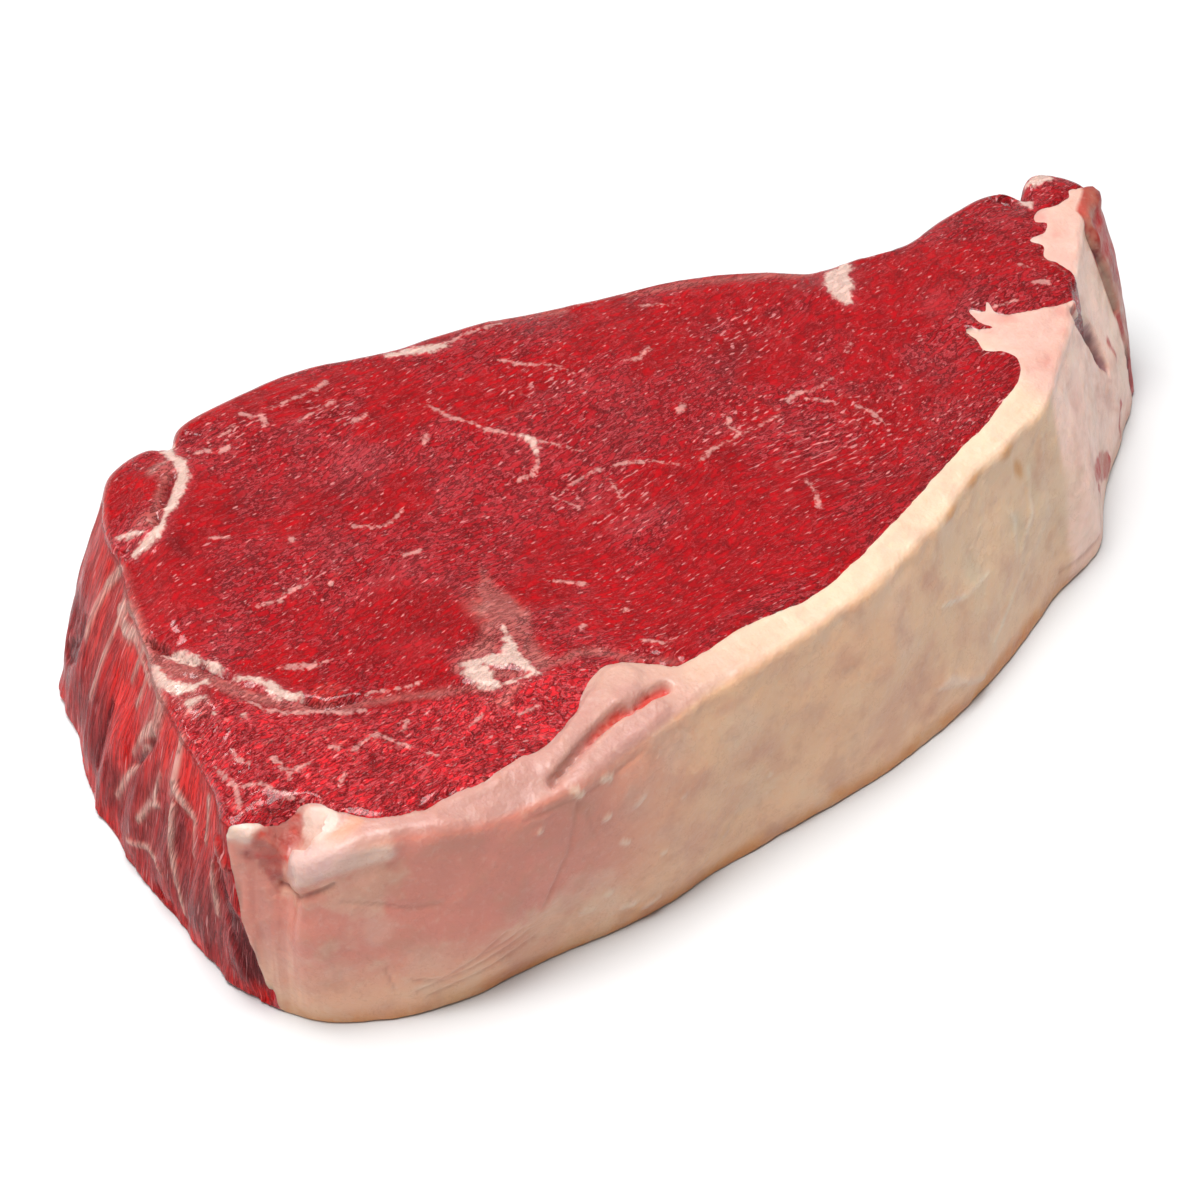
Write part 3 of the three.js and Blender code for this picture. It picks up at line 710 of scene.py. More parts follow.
fold_slit, fold_lips, nose, orange_dip, corner_cream = (
    strokes(spots, many, on_top) for many in (FOLD_SLIT, FOLD_LIPS, NOSE, ORANGE_DIP, CORNER_CREAM)
)
at_corner = (along > CORNER_START) & (along < CORNER_END) & (points[:, 2] > THICKNESS - 15) & ~facing_down
facet, nose_side, nose_crease = (
    strokes(on_sides, many, at_corner) for many in (PINK_FACET, NOSE_SIDE, NOSE_CREASE)
)
tail_red, tail_crease, end_red, pocket, pocket_deep, creases, skin_veins, nodules = (
    strokes(on_sides, many, beside)
    for many in (TAIL_RED, TAIL_CREASE, END_RED, POCKET, POCKET_DEEP, CREASES, SKIN_VEINS, NODULES)
)
white, dark_strand, lens, gland = (
    strokes(on_sides, many, beside) for many in (WALL_WHITE, WALL_DARK, WALL_LENS, WALL_GLAND)
)
side_muscle = smooth(np.interp(spots[:, 0], *SIDE_MUSCLE.T) - spots[:, 1], -0.6, 1)
side_muscle *= smooth(-spots[:, 0], 32, 34)
glinting = blobs(spots, GLINTING)
oval = 1 - smooth(np.hypot((spots[:, 0] - OVAL_MUSCLE[0]) / OVAL_MUSCLE[2],
                           (spots[:, 1] - OVAL_MUSCLE[1]) / OVAL_MUSCLE[3]), 0.8, 1.1)


def soft_line(distance, width):
    """1 on a stroke, falling away over a width on either side."""
    return np.exp(-(np.maximum(distance, 0) / width) ** 2)


# Places that make a noise run as the fibres and folds do. Their third axis is flat, so that the
# size given for it (9) has no effect.
zeros = np.zeros(len(points))
flatly = (1, 1, 0)
warp = np.column_stack([noise(points, 24, 1), noise(points, 24, 2), zeros])
face_grain = points * flatly + 5 * warp
sway = noise(np.column_stack([on_sides, zeros]), (18, 30, 9), 3)
wall_grain = np.column_stack([points[:, 2], along + 3 * sway, zeros])
grain = np.where((wall > 0.5)[:, None], wall_grain, face_grain)
slanted = np.column_stack([on_sides @ (1, 0.8), on_sides @ (-0.8, 1), zeros])
slanted += 2.5 * noise(points, 9, 30)[:, None] * flatly
upright = np.column_stack([on_sides + 0.6 * sway[:, None] * (1, 0), zeros])

fibres = 0.6 * ridges(face_grain, (3.4, 1.3, 9), 11) + 0.4 * ridges(face_grain, (1.7, 0.9, 9), 12)
network = ridges(face_grain, (4.4, 2.6, 9), 15)
strands = 0.6 * ridges(wall_grain, (26, 3.4, 9), 16) + 0.4 * ridges(wall_grain, (14, 1.4, 9), 17)
grained = smooth(noise(face_grain, (13, 7, 9), 10) + 0.5 * noise(face_grain, (5, 3, 9), 9), -0.35, 0.45)
wrinkles = ridges(slanted, (15, 3.6, 9), 34) ** 14 + 0.7 * ridges(slanted, (8, 2, 9), 35) ** 14
wrinkles *= smooth(noise(points, 13, 29), -0.1, 0.5)
stripes = noise(upright, (0.9, 16, 9), 28)
corner_wall = fat_wall * smooth(along, 392, 412) * (1 - smooth(along, 424, 428))
tail_bulge = 0.5 + 0.8 * smooth(points[:, 2], 14, 26) * (1 + 0.5 * noise(points, 3, 39))


# ------------------------------------------------------------------ relief
SEAM_GROOVE_DEPTH = 0.35
SEAM_GROOVE_WIDTH = 0.6
FOOT_HEIGHT = 2  # below it nothing stands out further than FOOT_RELIEF
FOOT_RELIEF = 0.2


def lean_relief():
    """How far the lean stands out from the smooth skin."""
    lumps = 0.25 * noise(points, 9, 13) + 0.12 * noise(points, 4, 14)
    face = lumps + (0.15 + 0.4 * glinting) * 0.7 * (fibres - 0.75)
    face += side_muscle * (0.2 * noise(face_grain, (3, 1.8, 9), 8) + 0.25 * (network - 0.7))
    face += 0.2 * soft_line(cream, 0.5) + 0.1 * soft_line(veins, 0.3) - 0.25 * soft_line(gristle, 0.6)
    face -= 1.1 * soft_line(slits, 0.45)
    side = 0.5 * (strands - 0.8) + 0.5 * noise(points, 9, 18) + 0.25 * soft_line(white, 0.4)
    side += 0.15 * noise(wall_grain, (6, 0.9, 9), 27) - 0.5 * soft_line(dark_strand, 0.6)
    side += 0.8 * soft_line(gland, 0.6) - 0.25 * soft_line(lens, 0.4)
    back = 0.25 * noise(points, 9, 19) + 0.2 * (ridges(wall_grain, (2, 14, 9), 20) - 0.75)
    return cut * face + left_wall * side + back_wall * back


def fat_relief():
    """How far the fat stands out from the smooth skin."""
    soft = 0.45 * noise(points, 13, 31) + 0.25 * noise(points, 5, 32) + 0.1 * noise(points, 1.8, 33)
    at_rim = smooth(points[:, 2], THICKNESS - 7, THICKNESS - 3) * (1 - smooth(flat, 0.8, 1))
    soft += 0.4 * at_rim * noise(points, 3.2, 38)
    face = -1.6 * soft_line(fold_slit, 0.5) + 0.8 * soft_line(fold_lips, 1.1) + 0.5 * soft_line(nose, 0.8)
    face += 0.25 * soft_line(corner_cream, 0.5)
    side = -0.25 * soft_line(creases, 0.35) - 0.25 * soft_line(tail_crease, 0.4)
    side -= 1.3 * soft_line(pocket, 0.7) + 0.9 * soft_line(pocket_deep, 0.5)
    side += 0.35 * soft_line(nodules, 0.3) + 0.15 * soft_line(skin_veins, 0.5)
    side += tail_bulge * soft_line(tail_red, 0.5)
    side += 0.25 * soft_line(end_red, 0.5) * noise(points, 1.5, 37) - 0.15 * wrinkles
    side += 0.8 * soft_line(gland, 0.6)
    corner = 0.7 * soft_line(nose_side, 1.2) - 0.6 * soft_line(nose_crease, 0.5)
    corner -= 0.3 * soft_line(facet, 0.8) * (1 + noise(points, 1.6, 36))
    return soft + upper * face + fat_wall * side + corner


def shaped_points():
    """The skin's points with their relief, a groove at the seam and a ragged foot on the left side."""
    lean = np.where(facing_up, smooth(seam, -0.3, 0.3), np.maximum(left_wall, back_wall))
    relief = lean * lean_relief() + (1 - lean) * fat_relief()
    relief -= SEAM_GROOVE_DEPTH * np.exp(-(seam / SEAM_GROOVE_WIDTH) ** 2) * cut
    relief *= 1 - 0.9 * smooth(-flat, 0.2, 1)
    relief = np.where(points[:, 2] < FOOT_HEIGHT, np.minimum(relief, FOOT_RELIEF), relief)
    shaped = points + skin_normals(points, skin.faces) * relief[:, None]
    at_foot = left_wall * (1 - smooth(points[:, 2], 1, 5))
    foot_line = np.column_stack([along, zeros, zeros])
    teeth = 0.7 * noise(foot_line, 6.5, 61) + 0.25 * noise(foot_line, 2.1, 65)
    shaped[:, 0] -= at_foot * teeth
    shaped[:, 2] = np.maximum(shaped[:, 2], 0)
    return shaped


# ------------------------------------------------------------------ colours
LIGHT_LEVEL = 1.3  # how bright a white surface that faces up looks in the studio light


def rgb(red, green, blue):
    """The linear colour that shows on the cut face as a display colour (0 to 255).

    The sides get less light, so that their colours are given brighter, some above 255.
    """
    return (np.array([red, green, blue]) / 255) ** 2.2 / LIGHT_LEVEL


LEAN_RED = rgb(180, 16, 28)
LEAN_DARK = rgb(112, 4, 14)
LEAN_BRIGHT = rgb(192, 10, 22)
LEAN_PALE = rgb(198, 72, 78)
# Painted highlight on the fibres' crests; also the colour of the side muscle's sinews.
GLINT_AND_SINEW_PINK = rgb(230, 140, 130)
LEAN_SINEW = rgb(222, 164, 152)
SIDE_RED = rgb(244, 50, 58)
OVAL_RED = rgb(200, 48, 46)
WALL_MAROON = rgb(166, 40, 42)
WALL_PINK = rgb(208, 94, 88)
WALL_RED = rgb(244, 38, 34)
WALL_WHITISH = rgb(246, 190, 174)
WALL_PURPLE = rgb(98, 18, 24)
WALL_LENS_TONE = rgb(140, 30, 34)
SMUDGE_TONE = rgb(168, 120, 104)
GRISTLE_TONE = rgb(188, 104, 98)
FAT_CREAM = rgb(245, 212, 183)
FAT_PINK = rgb(206, 154, 142)
FAT_PALE_PINK = rgb(234, 186, 171)
FAT_FLESHY = rgb(222, 140, 130)
CORNER_PALE = rgb(238, 202, 188)
CORNER_STREAK = rgb(196, 116, 104)
DIP_ORANGE = rgb(232, 170, 136)
# Painted highlight along the ridge of the nose over the low corner.
NOSE_HIGHLIGHT = rgb(232, 196, 188)
FACET_TONE = rgb(186, 84, 76)
SKIN_TAN = rgb(250, 200, 160)
SKIN_PINK = rgb(234, 148, 130)
# Painted light: lightens the low part of the fat's side.
SKIN_LOW = rgb(262, 212, 172)
SKIN_BEIGE = rgb(248, 207, 169)
SKIN_ORANGE = rgb(240, 162, 96)
SKIN_RUST = rgb(222, 152, 84)
SKIN_GREY = rgb(228, 208, 176)
SKIN_ROSY = rgb(206, 136, 120)
SKIN_CREAM = rgb(246, 214, 190)
SKIN_BRUISE = rgb(206, 124, 110)
# Painted shade in the creases and wrinkles of the fat's side.
SKIN_CREASE_SHADE = rgb(196, 122, 104)
SKIN_VEIN = rgb(250, 236, 216)
SKIN_NODULE = rgb(250, 218, 194)
END_PINK = rgb(280, 233, 214)
MEAT_ON_FAT = rgb(206, 72, 62)
TAIL_MEAT = rgb(190, 8, 14)
POCKET_TONE = rgb(170, 116, 120)
# Painted shade in the deepest part of the pocket.
POCKET_SHADE = rgb(84, 38, 48)


def painted(under, layers):
    """Lays colours over others, from the bottom up; each layer is a colour and its weight."""
    tones = np.broadcast_to(under, points.shape)
    for colour, weight in layers:
        tones = tones + (colour - tones) * np.clip(weight, 0, 1)[:, None]
    return tones


def cut_lean_colours():
    mottle = noise(points, 6, 41) + 0.5 * noise(points, 3, 42)
    dark = blobs(spots, DARK) * (0.25 + 0.4 * mottle)
    sinew = smooth(network, 0.93, 0.99) * smooth(noise(points, 5, 46), -0.2, 0.5)
    hollow = smooth(0.85 - network, 0, 0.3) * smooth(mottle, -0.8, 0.2)
    halo = blobs(spots, KERNEL_HALO) * (1 + 0.6 * noise(points, 1.8, 66))
    net = smooth(0.7 * network + 0.3 * ridges(points, 1.6, 62), 0.8, 0.95)
    grey = (1 - smooth(gristle + 0.5 * noise(points, 2.2, 63), -0.9, 0.6)) * (0.85 + 0.25 * mottle)
    rolled = smooth(points[:, 1], 5, 15) * (1 - smooth(flat, 0.6, 1)) * (0.6 + 0.8 * noise(points, 7, 49))
    return painted(LEAN_RED, [
        (LEAN_BRIGHT, 0.9 - grained),
        (LEAN_PALE, 0.35 * grained * smooth(mottle, -0.6, 0.8)),
        (LEAN_DARK, dark + 0.4 * smooth(mottle, 0.2, 1.1)),
        (LEAN_PALE, blobs(spots, PALE) * (0.3 + 0.4 * mottle)),
        # Painted highlight on the fibres' crests.
        (GLINT_AND_SINEW_PINK, (0.04 + 0.2 * glinting) * smooth(fibres, 0.86, 0.97)),
        # Painted shade in the troughs between the fibres.
        (LEAN_DARK, 0.35 * smooth(0.66 - fibres, 0, 0.2)),
        (SIDE_RED, 0.75 * side_muscle),
        # Painted shade in the hollows between the side muscle's network of ridges.
        (LEAN_DARK, 0.35 * side_muscle * hollow),
        (LEAN_SINEW, 0.45 * halo),
        (GLINT_AND_SINEW_PINK, 0.6 * side_muscle * sinew),
        (LEAN_PALE, 0.7 * soft_line(cream, 0.9)),
        (LEAN_SINEW, blobs(spots, SINEWY) * (0.25 + 0.9 * net)),
        (OVAL_RED, oval),
        # Painted shade in the slits.
        (LEAN_DARK, 0.8 * soft_line(slits, 0.3)),
        (GRISTLE_TONE, grey),
        (WALL_PINK, rolled),
    ])


def left_wall_colours():
    pulled = noise(wall_grain, (22, 3, 9), 44) + 0.5 * noise(wall_grain, (12, 1.2, 9), 45)
    threads = noise(wall_grain, (9, 0.8, 9), 50)
    membrane = blobs(on_sides, WALL_MEMBRANE)
    # Painted light: the wall's red is lighter in WALL_BRIGHT's patches, in a band under the rim and towards
    # the top, where light falls.
    bright = blobs(on_sides, WALL_BRIGHT) + 0.8 * smooth(height + 0.1 * pulled, 0.85, 0.98)
    raised = smooth(points[:, 2], 12, 28)
    net = smooth(0.6 * ridges(points, 3, 64) + 0.4 * strands, 0.7, 0.92)
    fibrous = 0.75 + 0.4 * noise(points, 2.4, 48) + 0.3 * threads
    return painted(WALL_MAROON, [
        (WALL_RED, 0.3 * smooth(pulled, 0, 0.8) + 0.45 * raised + bright),
        (WALL_PURPLE, 0.5 * smooth(threads, 0.1, 0.6) * (1 - 0.8 * bright) * (1 - 0.5 * raised)),
        (WALL_PINK, (0.25 + 0.4 * membrane) * smooth(-threads, 0.15, 0.7)),
        (WALL_PINK, 0.2 * membrane),
        (WALL_PURPLE, 0.85 * soft_line(dark_strand, 0.6)),
        (WALL_LENS_TONE, soft_line(lens, 0.3)),
        (WALL_WHITISH, blobs(on_sides, WALL_SINEWY) * (0.2 + 0.9 * net)),
        (WALL_PINK, 0.5 * soft_line(white, 1.1)),
        (WALL_WHITISH, soft_line(white, 0.4) * fibrous),
        (WALL_PINK, soft_line(gland, 0.3)),
        (WALL_RED, 0.9 * (1 - smooth(height + 0.05 * pulled, 0.03, 0.14))),
    ])


def lean_colours():
    sheath = 0.5 + 0.6 * noise(points, (18, 18, 7), 47)
    back = painted(LEAN_RED, [(GRISTLE_TONE, sheath)])
    return painted(cut_lean_colours(), [(left_wall_colours(), left_wall), (back, back_wall)])


def fat_top_colours(x):
    patches = noise(points, 3.6, 58) + 0.5 * noise(points, 1.6, 52)
    return painted(FAT_CREAM, [
        (FAT_PINK, 1 - smooth(x, -48, -8)),
        (FAT_PALE_PINK, smooth(x, 48, 58)),
        (FAT_FLESHY, (0.15 + 0.3 * smooth(x, 48, 58)) * smooth(patches, 0.1, 0.9)),
        (CORNER_PALE, 0.35 * smooth(-patches, 0.1, 0.9) * smooth(x, 44, 54)),
        (MEAT_ON_FAT, soft_line(fold_slit, 0.3) * smooth(spots[:, 0], -58, -48)),
    ])


def fat_side_colours(x):
    patches = noise(points, 7, 54) + 0.5 * noise(points, 3, 55)
    ragged = 0.5 * noise(points, 2, 57)
    end = smooth(points[:, 0] + 1.2 * noise(points, 5, 53), 52.5, 55)
    return painted(SKIN_TAN, [
        (SKIN_PINK, 1 - smooth(x, -66, -28)),
        (SKIN_BEIGE, smooth(x, 0, 30)),
        (SKIN_GREY, 0.5 * blobs(on_sides, SKIN_OLIVE) * (1 + patches)),
        # Painted light: the low part of the side lightened.
        (SKIN_LOW, 0.75 * (1 - smooth(height, 0.05, 0.5))),
        (END_PINK, end),
        (SKIN_ROSY, 0.3 * smooth(patches, 0.1, 1)),
        (SKIN_CREAM, 0.3 * smooth(-patches, 0.2, 1)),
        (FAT_PINK, corner_wall * 0.3 * smooth(stripes, -0.2, 0.5)),
        (CORNER_STREAK, corner_wall * 0.35 * smooth(-stripes, 0, 0.6)),
        (SKIN_ORANGE, (1 - smooth(height + 0.04 * patches, 0.02, 0.13)) * (1 - 0.7 * end)),
        (SKIN_BRUISE, 0.25 * blobs(on_sides, SKIN_RED)),
        (SKIN_RUST, 0.8 * blobs(on_sides, SKIN_ORANGE_SPOTS)),
        # Painted shade in the creases and wrinkles.
        (SKIN_CREASE_SHADE, 0.35 * soft_line(creases, 0.25) + 0.15 * wrinkles),
        (SMUDGE_TONE, 0.7 * blobs(on_sides, SMUDGES)),
        (SKIN_VEIN, 0.6 * soft_line(skin_veins, 0.25) * (0.7 + patches)),
        (SKIN_NODULE, 0.8 * soft_line(nodules, 0.25)),
        # The pocket, painted greyer, with painted shade in its deepest part.
        (POCKET_TONE, 1 - smooth(pocket + ragged, 0.3, 0.9)),
        (POCKET_SHADE, soft_line(pocket_deep + ragged, 0.5)),
        (MEAT_ON_FAT, 1 - smooth(end_red + ragged, -0.3, 0.4)),
    ])


def fat_colours():
    x = points[:, 0] + 5 * noise(points, 11, 51)
    above_rim = smooth(points[:, 2], 33.5, 35)
    return painted(fat_side_colours(x), [
        (fat_top_colours(x), smooth(flat, 0.35, 0.75)),
        # the orange dip, a painted highlight on the nose, the pink facet, painted shade in the crease under
        # the nose and the cream patches over the low corner
        (DIP_ORANGE, 0.6 * soft_line(orange_dip, 0.8)),
        (NOSE_HIGHLIGHT, 0.8 * soft_line(nose_side, 0.8)),
        (FACET_TONE, soft_line(facet, 0.6) * (0.8 + 0.4 * noise(points, 1.8, 56))),
        (MEAT_ON_FAT, soft_line(facet, 1.2) * smooth(noise(points, 1.5, 59), 0.25, 0.5)),
        # Painted shade in the crease under the nose.
        (FACET_TONE, 0.6 * soft_line(nose_crease, 0.35)),
        (CORNER_PALE, soft_line(corner_cream, 0.35) * above_rim),
        # the strip of meat at the end of the tail
        (TAIL_MEAT, 1 - smooth(tail_red + 0.3 * noise(points, 2, 57), 1.1, 1.7)),
        (LEAN_DARK, 0.4 * (tail_red < 0.6) * smooth(noise(points, 2.5, 67), -0.1, 0.6)),
        # Painted shade in the crease beside the strip of meat.
        (WALL_PURPLE, soft_line(tail_crease, 0.35)),
    ])


# ------------------------------------------------------------------ meshes
LAYERS = {1: ("FLOAT", "value"), 3: ("FLOAT_VECTOR", "vector"), 4: ("FLOAT_COLOR", "color")}
WIDTHS = {kind: width for width, (kind, _) in LAYERS.items()}  # how many numbers a point has


def attribute(mesh, name, values):
    """Keeps one value for each point in the mesh, where the shader and the cut can read it."""
    width = 1 if values.ndim == 1 else values.shape[1]
    kind, field = LAYERS[width]
    made = mesh.attributes.new(name, kind, "POINT")
    made.data.foreach_set(field, values.astype(np.float32).ravel())


def read(made, count, width):
    values = np.empty(count * width, np.float32)
    made.data.foreach_get(LAYERS[width][1], values)
    return values.reshape(-1, width)


def mesh_object(name, verts, faces):
    mesh = bpy.data.meshes.new(name)
    mesh.vertices.add(len(verts))
    mesh.vertices.foreach_set("co", verts.astype(np.float32).ravel())
    mesh.loops.add(len(faces) * 3)
    mesh.loops.foreach_set("vertex_index", faces.astype(np.int32).ravel())
    mesh.polygons.add(len(faces))
    mesh.polygons.foreach_set("loop_start", np.arange(0, len(faces) * 3, 3, dtype=np.int32))
    mesh.update(calc_edges=True)
    mesh.validate()
    piece = bpy.data.objects.new(name, mesh)
    bpy.context.scene.collection.objects.link(piece)
    return piece


def seam_block(curve):
    """The block that holds all the lean, as an object to cut with."""
    high, low = curve[:, :2], curve[:, :2] + curve[:, 2:]
    count = len(curve)
    ring = np.arange(count)
    following = (ring + 1) % count
    verts = np.vstack([
        np.column_stack([low, np.full(count, -1)]),
        np.column_stack([high, np.full(count, THICKNESS + 3)]),
    ])
    faces = [
        np.column_stack([ring, following, following + count]),
        np.column_stack([ring, following + count, ring + count]),
    ]
    for first, outline, up in ((count, high, True), (0, low, False)):
        corners = [Vector(spot) for spot in outline]
        made = geometry.delaunay_2d_cdt(corners, [], [list(range(count))], 1, 1e-6)
        cap = np.array([[made[3][corner][0] for corner in face] for face in made[2]])
        faces.append(turned(verts, cap + first, up))
    return mesh_object("seam_block", verts * MM, np.vstack(faces))


def keep_largest_part(mesh):
    """Deletes the crumbs that a cut leaves beside the one large part."""
    edges = np.empty(len(mesh.edges) * 2, np.int32)
    mesh.edges.foreach_get("vertices", edges)
    a, b = edges.reshape(-1, 2).T
    part = np.arange(len(mesh.vertices))
    while (part[a] != part[b]).any():
        lower = np.minimum(part[a], part[b])
        np.minimum.at(part, a, lower)
        np.minimum.at(part, b, lower)
        part = part[part]
    crumbs = np.flatnonzero(part != np.bincount(part).argmax())
    shape = bmesh.new()
    shape.from_mesh(mesh)
    shape.verts.ensure_lookup_table()
    bmesh.ops.delete(shape, geom=[shape.verts[number] for number in crumbs], context="VERTS")
    shape.to_mesh(mesh)
    shape.free()


def cut_piece(name, whole, block, operation):
    """One side of the seam as its own closed piece, with the skin's attributes on its new edge."""
    cutter = whole.modifiers.new("cut", "BOOLEAN")
    cutter.operation = operation
    cutter.object = block
    cutter.solver = "MANIFOLD"
    graph = bpy.context.evaluated_depsgraph_get()
    mesh = bpy.data.meshes.new_from_object(whole.evaluated_get(graph))
    whole.modifiers.remove(cutter)
    mesh.name = name
    count = len(mesh.vertices)
    places = np.empty(count * 3, np.float32)
    mesh.vertices.foreach_get("co", places)
    places = places.reshape(-1, 3)
    origin = mesh.attributes["origin"]
    fresh = np.linalg.norm(read(origin, count, 3) - places, axis=1) > 1e-6
    _, source = nearest(places[fresh], places[~fresh])
    for made in mesh.attributes:
        width = WIDTHS.get(made.data_type)
        if made.domain == "POINT" and width and made.name != "position":
            values = read(made, count, width)
            values[fresh] = values[~fresh][source]  # the new edge takes them from the nearest point
            made.data.foreach_set(LAYERS[width][1], values.ravel())
    mesh.attributes.remove(origin)
    keep_largest_part(mesh)
    mesh.shade_smooth()
    mesh.set_sharp_from_angle(angle=math.radians(58))
    piece = bpy.data.objects.new(name, mesh)
    bpy.context.scene.collection.objects.link(piece)
    return piece


opaque = np.ones((len(points), 1))
shaped = shaped_points() * MM
whole = mesh_object("whole", shaped, skin.faces)
for name, values in (
    ("origin", shaped),
    ("lean_tone", np.hstack([lean_colours(), opaque])),
    ("fat_tone", np.hstack([fat_colours(), opaque])),
    ("cream", cream),
    ("veins", veins),
    ("grain", grain),
    ("cut", cut),
    ("glinting", glinting * cut),
    ("pulled", np.maximum(left_wall, back_wall)),
    ("grained", np.maximum(grained, side_muscle) * cut + 0.4 * left_wall),
    ("crinkled", np.maximum(side_muscle, 0.3 * glinting) * cut),
):
    attribute(whole.data, name, values)
block = seam_block(seam_rows)
lean_piece = cut_piece("lean_meat", whole, block, "INTERSECT")
fat_piece = cut_piece("cap_of_fat", whole, block, "DIFFERENCE")
for spare in (whole, block):
    bpy.data.objects.remove(spare)
print("steak: lean", len(lean_piece.data.polygons), "fat", len(fat_piece.data.polygons))


# ------------------------------------------------------------------ materials
def solid(red, green, blue):
    return (*rgb(red, green, blue), 1)


MEAT_DEPTH = solid(120, 6, 18)
# Painted shade in the grooves of the fibres and crinkles, and a painted highlight on the crest beside each.
MEAT_GROOVE = solid(84, 0, 8)
MEAT_CREST = solid(226, 100, 106)
MEAT_SPECK = solid(214, 90, 98)
# Painted glints: short bright dashes along the grain.
MEAT_GLINT = solid(236, 150, 148)
VEIN_TONE = solid(232, 162, 154)
CREAM_TONE = solid(238, 198, 184)
FAT_ROSY = solid(212, 140, 122)
FAT_BUTTER = solid(246, 214, 182)
FAT_HOLLOW = solid(210, 152, 126)
FAT_LIGHT = solid(252, 232, 212)
FAT_PORE = solid(184, 118, 98)


def new_material(name, settings):
    """A material whose shader's plain inputs have these settings."""
    material = bpy.data.materials.new(name)
    material.use_nodes = True
    shader = material.node_tree.nodes["Principled BSDF"]
    for socket, value in settings.items():
        shader.inputs[socket].default_value = value
    return material, material.node_tree, shader


def node(tree, kind, inputs=None, **settings):
    """Adds a node; its inputs are numbers, tuples or other nodes' outputs, by name or place."""
    made = tree.nodes.new("ShaderNode" + kind)
    for key, value in settings.items():
        setattr(made, key, value)
    for key, value in (inputs or {}).items():
        if isinstance(value, bpy.types.NodeSocket):
            tree.links.new(value, made.inputs[key])
        else:
            made.inputs[key].default_value = value
    return made


def layer(tree, name, output="Fac"):
    return node(tree, "Attribute", attribute_name=name).outputs[output]


def maths(tree, operation, a, b=0.0):
    return node(tree, "Math", {0: a, 1: b}, operation=operation).outputs[0]


def times(tree, a, b):
    return maths(tree, "MULTIPLY", a, b)


def ramp(tree, value, low, high, to_low=0.0, to_high=1.0):
    """A soft step from one value to another, as the input runs from low to high."""
    inputs = {0: value, 1: low, 2: high, 3: to_low, 4: to_high}
    return node(tree, "MapRange", inputs, interpolation_type="SMOOTHSTEP").outputs[0]


def blend(tree, share, a, b):
    return node(tree, "Mix", {0: share, 6: a, 7: b}, data_type="RGBA").outputs[2]


def texture(tree, place, scale, detail=2.0, rough=0.5, stretch=None):
    """Fractal noise, whose place can first be multiplied by one factor an axis."""
    if stretch:
        place = node(tree, "VectorMath", {0: place, 1: stretch}, operation="MULTIPLY").outputs[0]
    inputs = {"Vector": place, "Scale": scale, "Detail": detail, "Roughness": rough}
    return node(tree, "TexNoise", inputs).outputs["Fac"]


def contours(tree, value, width):
    """1 on the middle level of a noise, which runs in winding lines, and 0 a width away."""
    level = maths(tree, "ABSOLUTE", maths(tree, "SUBTRACT", value, 0.5))
    return ramp(tree, level, width, 0)


def bump(tree, height_value, strength, distance, base=None):
    inputs = {"Height": height_value, "Strength": strength, "Distance": distance}
    if base is not None:
        inputs["Normal"] = base
    return node(tree, "Bump", inputs).outputs[0]


def stroke_mask(tree, name, ragged, reach, edge):
    """1 inside the strokes of an attribute, with an edge that a noise makes ragged."""
    shift = times(tree, maths(tree, "SUBTRACT", ragged, 0.5), reach)
    return ramp(tree, maths(tree, "ADD", layer(tree, name), shift), edge, -edge)


def creased(tree, tone, value, weight):
    """Painted shade in lines along a noise's middle level, each with a painted highlight on the crest beside
    it, over a colour.
    """
    groove = contours(tree, value, 0.05)
    crest = contours(tree, maths(tree, "SUBTRACT", value, 0.08), 0.04)
    tone = blend(tree, times(tree, crest, times(tree, weight, 0.65)), tone, MEAT_CREST)
    tone = blend(tree, times(tree, groove, weight), tone, MEAT_GROOVE)
    return tone, maths(tree, "SUBTRACT", crest, groove)


